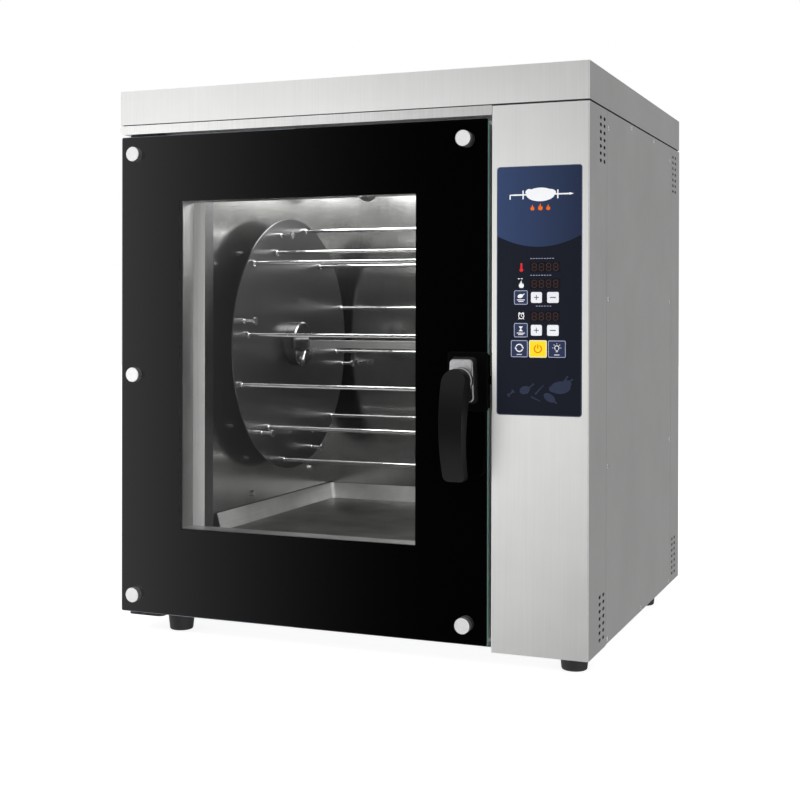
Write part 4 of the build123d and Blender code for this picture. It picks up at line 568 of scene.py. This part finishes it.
ICON_X = 47.0
thermometer = [ellipse(ICON_X, 267.5, 3.4, 3.4), stroke([(ICON_X, 268), (ICON_X, 280)], 3.6)]
on_pad("pad_thermometer", thermometer, print_red)
clock = [arc_band(ICON_X, 182.6, 5.0, 1.5, 0, 360), stroke([(ICON_X, 182.6), (ICON_X, 186.2)], 1.1),
         stroke([(ICON_X, 182.6), (ICON_X + 2.4, 181.4)], 1.1), stroke([(41.6, 186.8), (44.4, 189.4)], 1.6),
         stroke([(52.4, 186.8), (49.6, 189.4)], 1.6)]
clock += [stroke([(43.2, 178.6), (41.8, 176.4)], 1.2), stroke([(50.8, 178.6), (52.2, 176.4)], 1.2)]
heat = [flame(ICON_X, 234.5, 14)]
heat += [stroke([(40.5 + i * 5.5, 251.5), (44.0 + i * 5.5, 251.5)], 1.5) for i in range(2)]
# Rows of dashes stand in for the small print over the displays: each is a height, a start and an end.
DASH_STEP = 5.2
DASH_LENGTH = 3.4
marks = []
for z, first, last in ((288.5, 64, 112), (257.6, 64, 107), (201.0, 75, 110)):
    for i in range(int((last - first) / DASH_STEP)):
        left = first + i * DASH_STEP
        marks.append(stroke([(left, z), (left + DASH_LENGTH, z)], 1.1))
on_pad("pad_icons", clock + heat, print_white)
on_pad("pad_marks", marks, print_light)

# Food outlines along the lower edge.
chicken = [ellipse(122, 52, 19, 11.5, 6), ellipse(134, 58, 9, 7, 35)]
chicken += [stroke([(137, 62), (143, 67)], 4.0, 2.0), stroke([(128, 62), (134, 71)], 5.0, 2.0)]
chicken += [ellipse(134.6, 71.6, 2.2, 1.6), ellipse(144, 67, 2, 1.6)]
chicken += [ellipse(108, 49, 8, 6, -10)]
steak = [ellipse(101, 33, 12, 7, -32), stroke([(108, 28), (115, 23)], 4.0, 2.2)]
leg = [ellipse(54, 46, 10, 7.5, 20), stroke([(62, 50), (69, 56)], 3.0, 1.8), ellipse(70, 57, 1.9, 1.9)]
skewer = [stroke([(74, 39), (90, 56)], 3.2, 1.4), stroke([(66, 34), (84, 26)], 2.8, 1.2)]
bone = [stroke([(23, 36), (31, 43)], 2.6), ellipse(22, 37, 2.4, 1.8), ellipse(23.5, 34.4, 2.2, 1.8),
        ellipse(32, 42, 2.4, 1.8), ellipse(30.6, 44.6, 2.2, 1.8)]
on_pad("pad_food_outlines", chicken + steak + leg + skewer + bone, print_blue)

# Unlit seven-segment digits in the three displays. A segment's ends are in half widths and quarter
# heights from the digit's middle.
SEGMENTS = (((-1, 2), (1, 2)), ((1, 2), (1, 0)), ((1, 0), (1, -2)), ((-1, -2), (1, -2)),
            ((-1, 0), (-1, -2)), ((-1, 2), (-1, 0)), ((-1, 0), (1, 0)))
SEGMENT_GAP = 0.35


def digit(x, z, half_w, half_h, line):
    """The seven segments of one digit, each a bar with pointed ends."""
    parts = []
    for (x0, z0), (x1, z1) in SEGMENTS:
        ax, az = x + x0 * half_w, z + z0 * half_h / 2
        bx, bz = x + x1 * half_w, z + z1 * half_h / 2
        dx, dz = bx - ax, bz - az
        length = (dx * dx + dz * dz) ** 0.5
        ux, uz = dx / length, dz / length
        ax, az = ax + ux * SEGMENT_GAP, az + uz * SEGMENT_GAP
        bx, bz = bx - ux * SEGMENT_GAP, bz - uz * SEGMENT_GAP
        w = line / 2
        parts.append(("fill", [(ax, az),
                               (ax + (ux - uz) * w, az + (uz + ux) * w),
                               (bx - (ux + uz) * w, bz + (ux - uz) * w),
                               (bx, bz),
                               (bx - (ux - uz) * w, bz - (uz + ux) * w),
                               (ax + (ux + uz) * w, az - (ux - uz) * w)]))
    return parts


DISPLAY_HEIGHTS = (272.7, 242.0, 182.0)
DISPLAY_X = 92.0
DIGIT_STEP = 13.6
digits = []
for up in DISPLAY_HEIGHTS:
    for i in range(4):
        digits += digit(DISPLAY_X + (i - 1.5) * DIGIT_STEP, up, 3.9, 6.6, 1.9)
printed("display_digits", digits, PAD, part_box("display_modules")[0][1], 0.1, "cabinet", digit_film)


def on_key(node, suffix, shapes, material):
    """Shapes on a key's face, in millimetres from its middle."""
    low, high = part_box(node)
    middle = ((low[0] + high[0]) / 2, (low[2] + high[2]) / 2)
    printed(f"{node}_{suffix}", shapes, middle, low[1], RISE, node, material)


KEY_BORDER = 2.4         # how much smaller than the key its outline is, in millimetres


def key_line(node, line, material):
    """A rounded outline a little inside the key's edge."""
    low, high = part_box(node)
    width = (high[0] - low[0]) / MM - KEY_BORDER
    height = (high[2] - low[2]) / MM - KEY_BORDER
    on_key(node, "line", [frame_of(0, 0, width, height, 2.6, line)], material)


for node in ("key_temperature", "key_time", "key_rotate", "key_lamp"):
    key_line(node, 1.3, print_light)
key_line("key_power", 1.1, print_white)
for node in ("key_temperature_up", "key_time_up"):
    plus = [stroke([(-4.6, 0), (4.6, 0)], 1.5)]
    plus += [("fill", [(-0.75, 0.8), (0.75, 0.8), (0.75, 4.6), (-0.75, 4.6)])]
    plus += [("fill", [(-0.75, -4.6), (0.75, -4.6), (0.75, -0.8), (-0.75, -0.8)])]
    on_key(node, "plus", plus, print_navy)
for node in ("key_temperature_down", "key_time_down"):
    on_key(node, "minus", [stroke([(-5.6, 0), (5.6, 0)], 1.7)], print_navy)
on_key("key_temperature", "sign", [ellipse(-1, 2.6, 5.4, 3.6, 16), stroke([(3, 4), (7, 7)], 2.0, 1.2),
                                   stroke([(-7.5, -4.4), (7.5, -4.4)], 1.5),
                                   stroke([(-5, -7.2), (5, -7.2)], 1.5)], print_white)
on_key("key_time", "sign", [("fill", [(-4, 7), (4, 7), (0.5, 2.4), (-0.5, 2.4)]),
                            ("fill", [(-4, -2), (4, -2), (0.5, 2.2), (-0.5, 2.2)]),
                            stroke([(-7.5, -5.4), (7.5, -5.4)], 1.5),
                            stroke([(-5, -8.0), (5, -8.0)], 1.3)], print_white)
ring = [arc_band(0, 1.5, 6.6, 2.0, 20, 160), arc_band(0, 1.5, 6.6, 2.0, 200, 340)]
ring += [("fill", [(8.8, 2.8), (4.4, 3.6), (7.2, -0.6)]), ("fill", [(-8.8, 0.2), (-4.4, -0.6), (-7.2, 3.6)])]
ring += [stroke([(-5, -10.6), (5, -10.6)], 1.3)]
on_key("key_rotate", "sign", ring, print_white)
power = [arc_band(0, 0, 6.8, 1.9, 118, 422), stroke([(0, 0.6), (0, 8.2)], 1.9)]
on_key("key_power", "sign", power, print_orange)
lamp = [arc_band(0, 2.2, 4.0, 1.3, -50, 230), stroke([(-2.2, -2.8), (2.2, -2.8)], 1.3),
        stroke([(-1.6, -4.8), (1.6, -4.8)], 1.2), stroke([(-5, -10.6), (5, -10.6)], 1.3)]
for a in (0, 45, 90, 135, 180):
    across, up = cos(radians(a)), sin(radians(a))
    lamp += [stroke([(6.4 * across, 2.2 + 6.4 * up), (8.4 * across, 2.2 + 8.4 * up)], 1.0)]
on_key("key_lamp", "sign", lamp, print_white)

# ---------------------------------------------------------------- floor, light, camera
FLOOR_RADIUS = 14.0
FLOOR_GLOW = 0.84
floor_mesh = bpy.data.meshes.new("floor")
bm = bmesh.new()
bmesh.ops.create_circle(bm, cap_ends=True, radius=FLOOR_RADIUS, segments=64)
bm.to_mesh(floor_mesh)
bm.free()
floor = bpy.data.objects.new("floor", floor_mesh)
bpy.context.scene.collection.objects.link(floor)
floor.visible_glossy = False
m, t = new_material("floor_white")
floor_colour = t.mix(t.noise(1.5), (0.44, 0.44, 0.44, 1), (0.46, 0.46, 0.46, 1))
diffuse = t.node("ShaderNodeBsdfDiffuse", Color=floor_colour)
glow = t.node("ShaderNodeEmission", Color=(1, 1, 1, 1), Strength=FLOOR_GLOW)
both = t.node("ShaderNodeAddShader")
t.nt.links.new(diffuse.outputs[0], both.inputs[0])
t.nt.links.new(glow.outputs[0], both.inputs[1])
close(t, both.outputs[0])
floor_mesh.materials.append(m)

# The camera sees a white world. What the oven gets is OPEN_LIGHT, but a dark card stands in front
# of it: from LEFT_EDGE on it fades out towards the left, so black glass shows a gradient there, and
# it ends at the right between RIGHT_EDGE and RIGHT_OPEN and upwards between CARD_TOP and CARD_OPEN.
# Angles go round the oven from straight in front, positive to the left.
OPEN_LIGHT = 0.9
CARD_LIGHT = 0.003
LEFT_EDGE = radians(18)
LEFT_WIDTH = radians(16)
LEFT_LIGHT = 0.85
RIGHT_EDGE = radians(-16)
RIGHT_OPEN = radians(-42)
CARD_TOP = radians(16)
CARD_OPEN = radians(30)
# The light from the rear right is dimmer.
DIM_X, DIM_Y = 0.42, 0.91
DIM_SHARE = 0.35

world = bpy.data.worlds.new("studio")
world.use_nodes = True
bpy.context.scene.world = world
t = Tree(world.node_tree)
axes = t.node("ShaderNodeSeparateXYZ", Vector=t.node("ShaderNodeTexCoord").outputs["Generated"])
dx, dy, dz = axes.outputs
azimuth = t.math("ARCTAN2", t.math("MULTIPLY", dx, -1.0), t.math("MULTIPLY", dy, -1.0))
height = t.math("ABSOLUTE", dz)
fade = t.math("DIVIDE", t.math("SUBTRACT", azimuth, LEFT_EDGE), LEFT_WIDTH)
fade = t.math("MAXIMUM", fade, 0.0)
left_light = t.math("MULTIPLY", t.math("POWER", fade, 3.0), LEFT_LIGHT)
right_light = t.ramp(azimuth, RIGHT_EDGE, RIGHT_OPEN, 0.0, OPEN_LIGHT)
upper_light = t.ramp(height, sin(CARD_TOP), sin(CARD_OPEN), 0.0, OPEN_LIGHT)
front = t.math("MAXIMUM", t.math("MAXIMUM", left_light, right_light), upper_light)
front = t.math("MINIMUM", t.math("ADD", front, CARD_LIGHT), OPEN_LIGHT)
side = t.math("ADD", t.math("MULTIPLY", dx, DIM_X), t.math("MULTIPLY", dy, DIM_Y))
strength = t.math("MULTIPLY", front, t.ramp(side, 0.25, 0.85, 1.0, DIM_SHARE))
shown = t.node("ShaderNodeLightPath").outputs["Is Camera Ray"]
unseen = t.math("SUBTRACT", 1.0, shown)
strength = t.math("ADD", shown, t.math("MULTIPLY", unseen, strength))
background = t.node("ShaderNodeBackground", Color=(1, 1, 1, 1), Strength=strength)
t.node("ShaderNodeOutputWorld", Surface=background.outputs[0])


def area_light(name, place, target, size, power, glossy=True, only=(), through=False):
    """A soft light, with its size in metres and its power in watts. With names in only, it lights
    those CAD nodes alone; with through, nothing but the floor casts a shadow from it."""
    light = bpy.data.lights.new(name, "AREA")
    light.shape = "RECTANGLE"
    light.size, light.size_y = size
    light.energy = power
    obj = bpy.data.objects.new(name, light)
    obj.location = place
    obj.rotation_euler = (Vector(target) - Vector(place)).to_track_quat("-Z", "Y").to_euler()
    obj.visible_glossy = glossy
    obj.visible_camera = False
    bpy.context.scene.collection.objects.link(obj)
    if only:
        lit = bpy.data.collections.new(name + "_lit")
        for node in only:
            lit.objects.link(NODES[node])
        obj.light_linking.receiver_collection = lit
    if through:
        shading = bpy.data.collections.new(name + "_shading")
        shading.objects.link(floor)
        obj.light_linking.blocker_collection = shading


area_light("key_light", (-1.6, -2.6, 2.8), (0, 0, 0.5), (1.6, 1.6), 34.0, glossy=False)
# Cards for single pieces of steel that mirror the dark card in front and would look too dark.
area_light("steel_card", (-1.2, -3.7, 0.6), (0.1, -0.4, 0.55), (3.0, 2.3), 24.0,
           only=("top_cap", "control_column", "latch_housing", "glass_standoffs"))
area_light("frame_card", (-2.2, -3.2, 0.6), (-0.3, -0.35, 0.5), (1.6, 1.6), 29.0,
           only=("front_frame",), through=True)
liner_low, liner_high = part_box("cavity_liner")
roof = liner_high[2] - 0.012
middle_y = (liner_low[1] + liner_high[1]) / 2
middle_x = -0.06
area_light("cavity_light", (middle_x, middle_y, roof), (middle_x, middle_y, 0), (0.5, 0.3), 5.4)
tray_low, tray_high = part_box("drip_tray")
rim_z = tray_high[2]
area_light("tray_side_card", (tray_high[0] - 0.08, tray_high[1] - 0.15, rim_z + 0.12),
           (tray_low[0], tray_low[1] + 0.15, rim_z - 0.02), (0.2, 0.1), 0.24, only=("drip_tray",))
area_light("tray_back_card", (tray_low[0] + 0.15, tray_low[1] + 0.02, rim_z + 0.25),
           (-0.05, tray_high[1], rim_z - 0.02), (0.5, 0.25), 0.28, only=("drip_tray",))
area_light("wall_card", (liner_high[0] - 0.04, middle_y + 0.1, 0.6), (liner_low[0], middle_y - 0.1, 0.55),
           (0.35, 0.6), 1.1, only=("cavity_liner",))

# The camera was solved from the straight edges in view: its place in metres, its lens in
# millimetres, and a vertical shift as a share of the frame's width.
CAMERA_PLACE = Vector((1.10844, -2.81278, 0.66895))
YAW, PITCH, ROLL = radians(22.117), radians(0.281), radians(0.114)
SENSOR_WIDTH = 36.0
LENS = 61.109
SHIFT_Y = -0.10326
FAR_CLIP = 60.0
forward = Vector((-sin(YAW) * cos(PITCH), cos(YAW) * cos(PITCH), -sin(PITCH)))
right = Vector((cos(YAW), sin(YAW), 0.0))
up = right.cross(forward)
right, up = right * cos(ROLL) + up * sin(ROLL), up * cos(ROLL) - right * sin(ROLL)
camera_data = bpy.data.cameras.new("camera")
camera_data.sensor_width = SENSOR_WIDTH
camera_data.lens = LENS
camera_data.shift_y = SHIFT_Y
camera_data.clip_end = FAR_CLIP
camera = bpy.data.objects.new("camera", camera_data)
matrix = Matrix((right, up, -forward)).transposed().to_4x4()
matrix.translation = CAMERA_PLACE
camera.matrix_world = matrix
bpy.context.scene.collection.objects.link(camera)
bpy.context.scene.camera = camera
bpy.context.scene.view_settings.view_transform = "Standard"
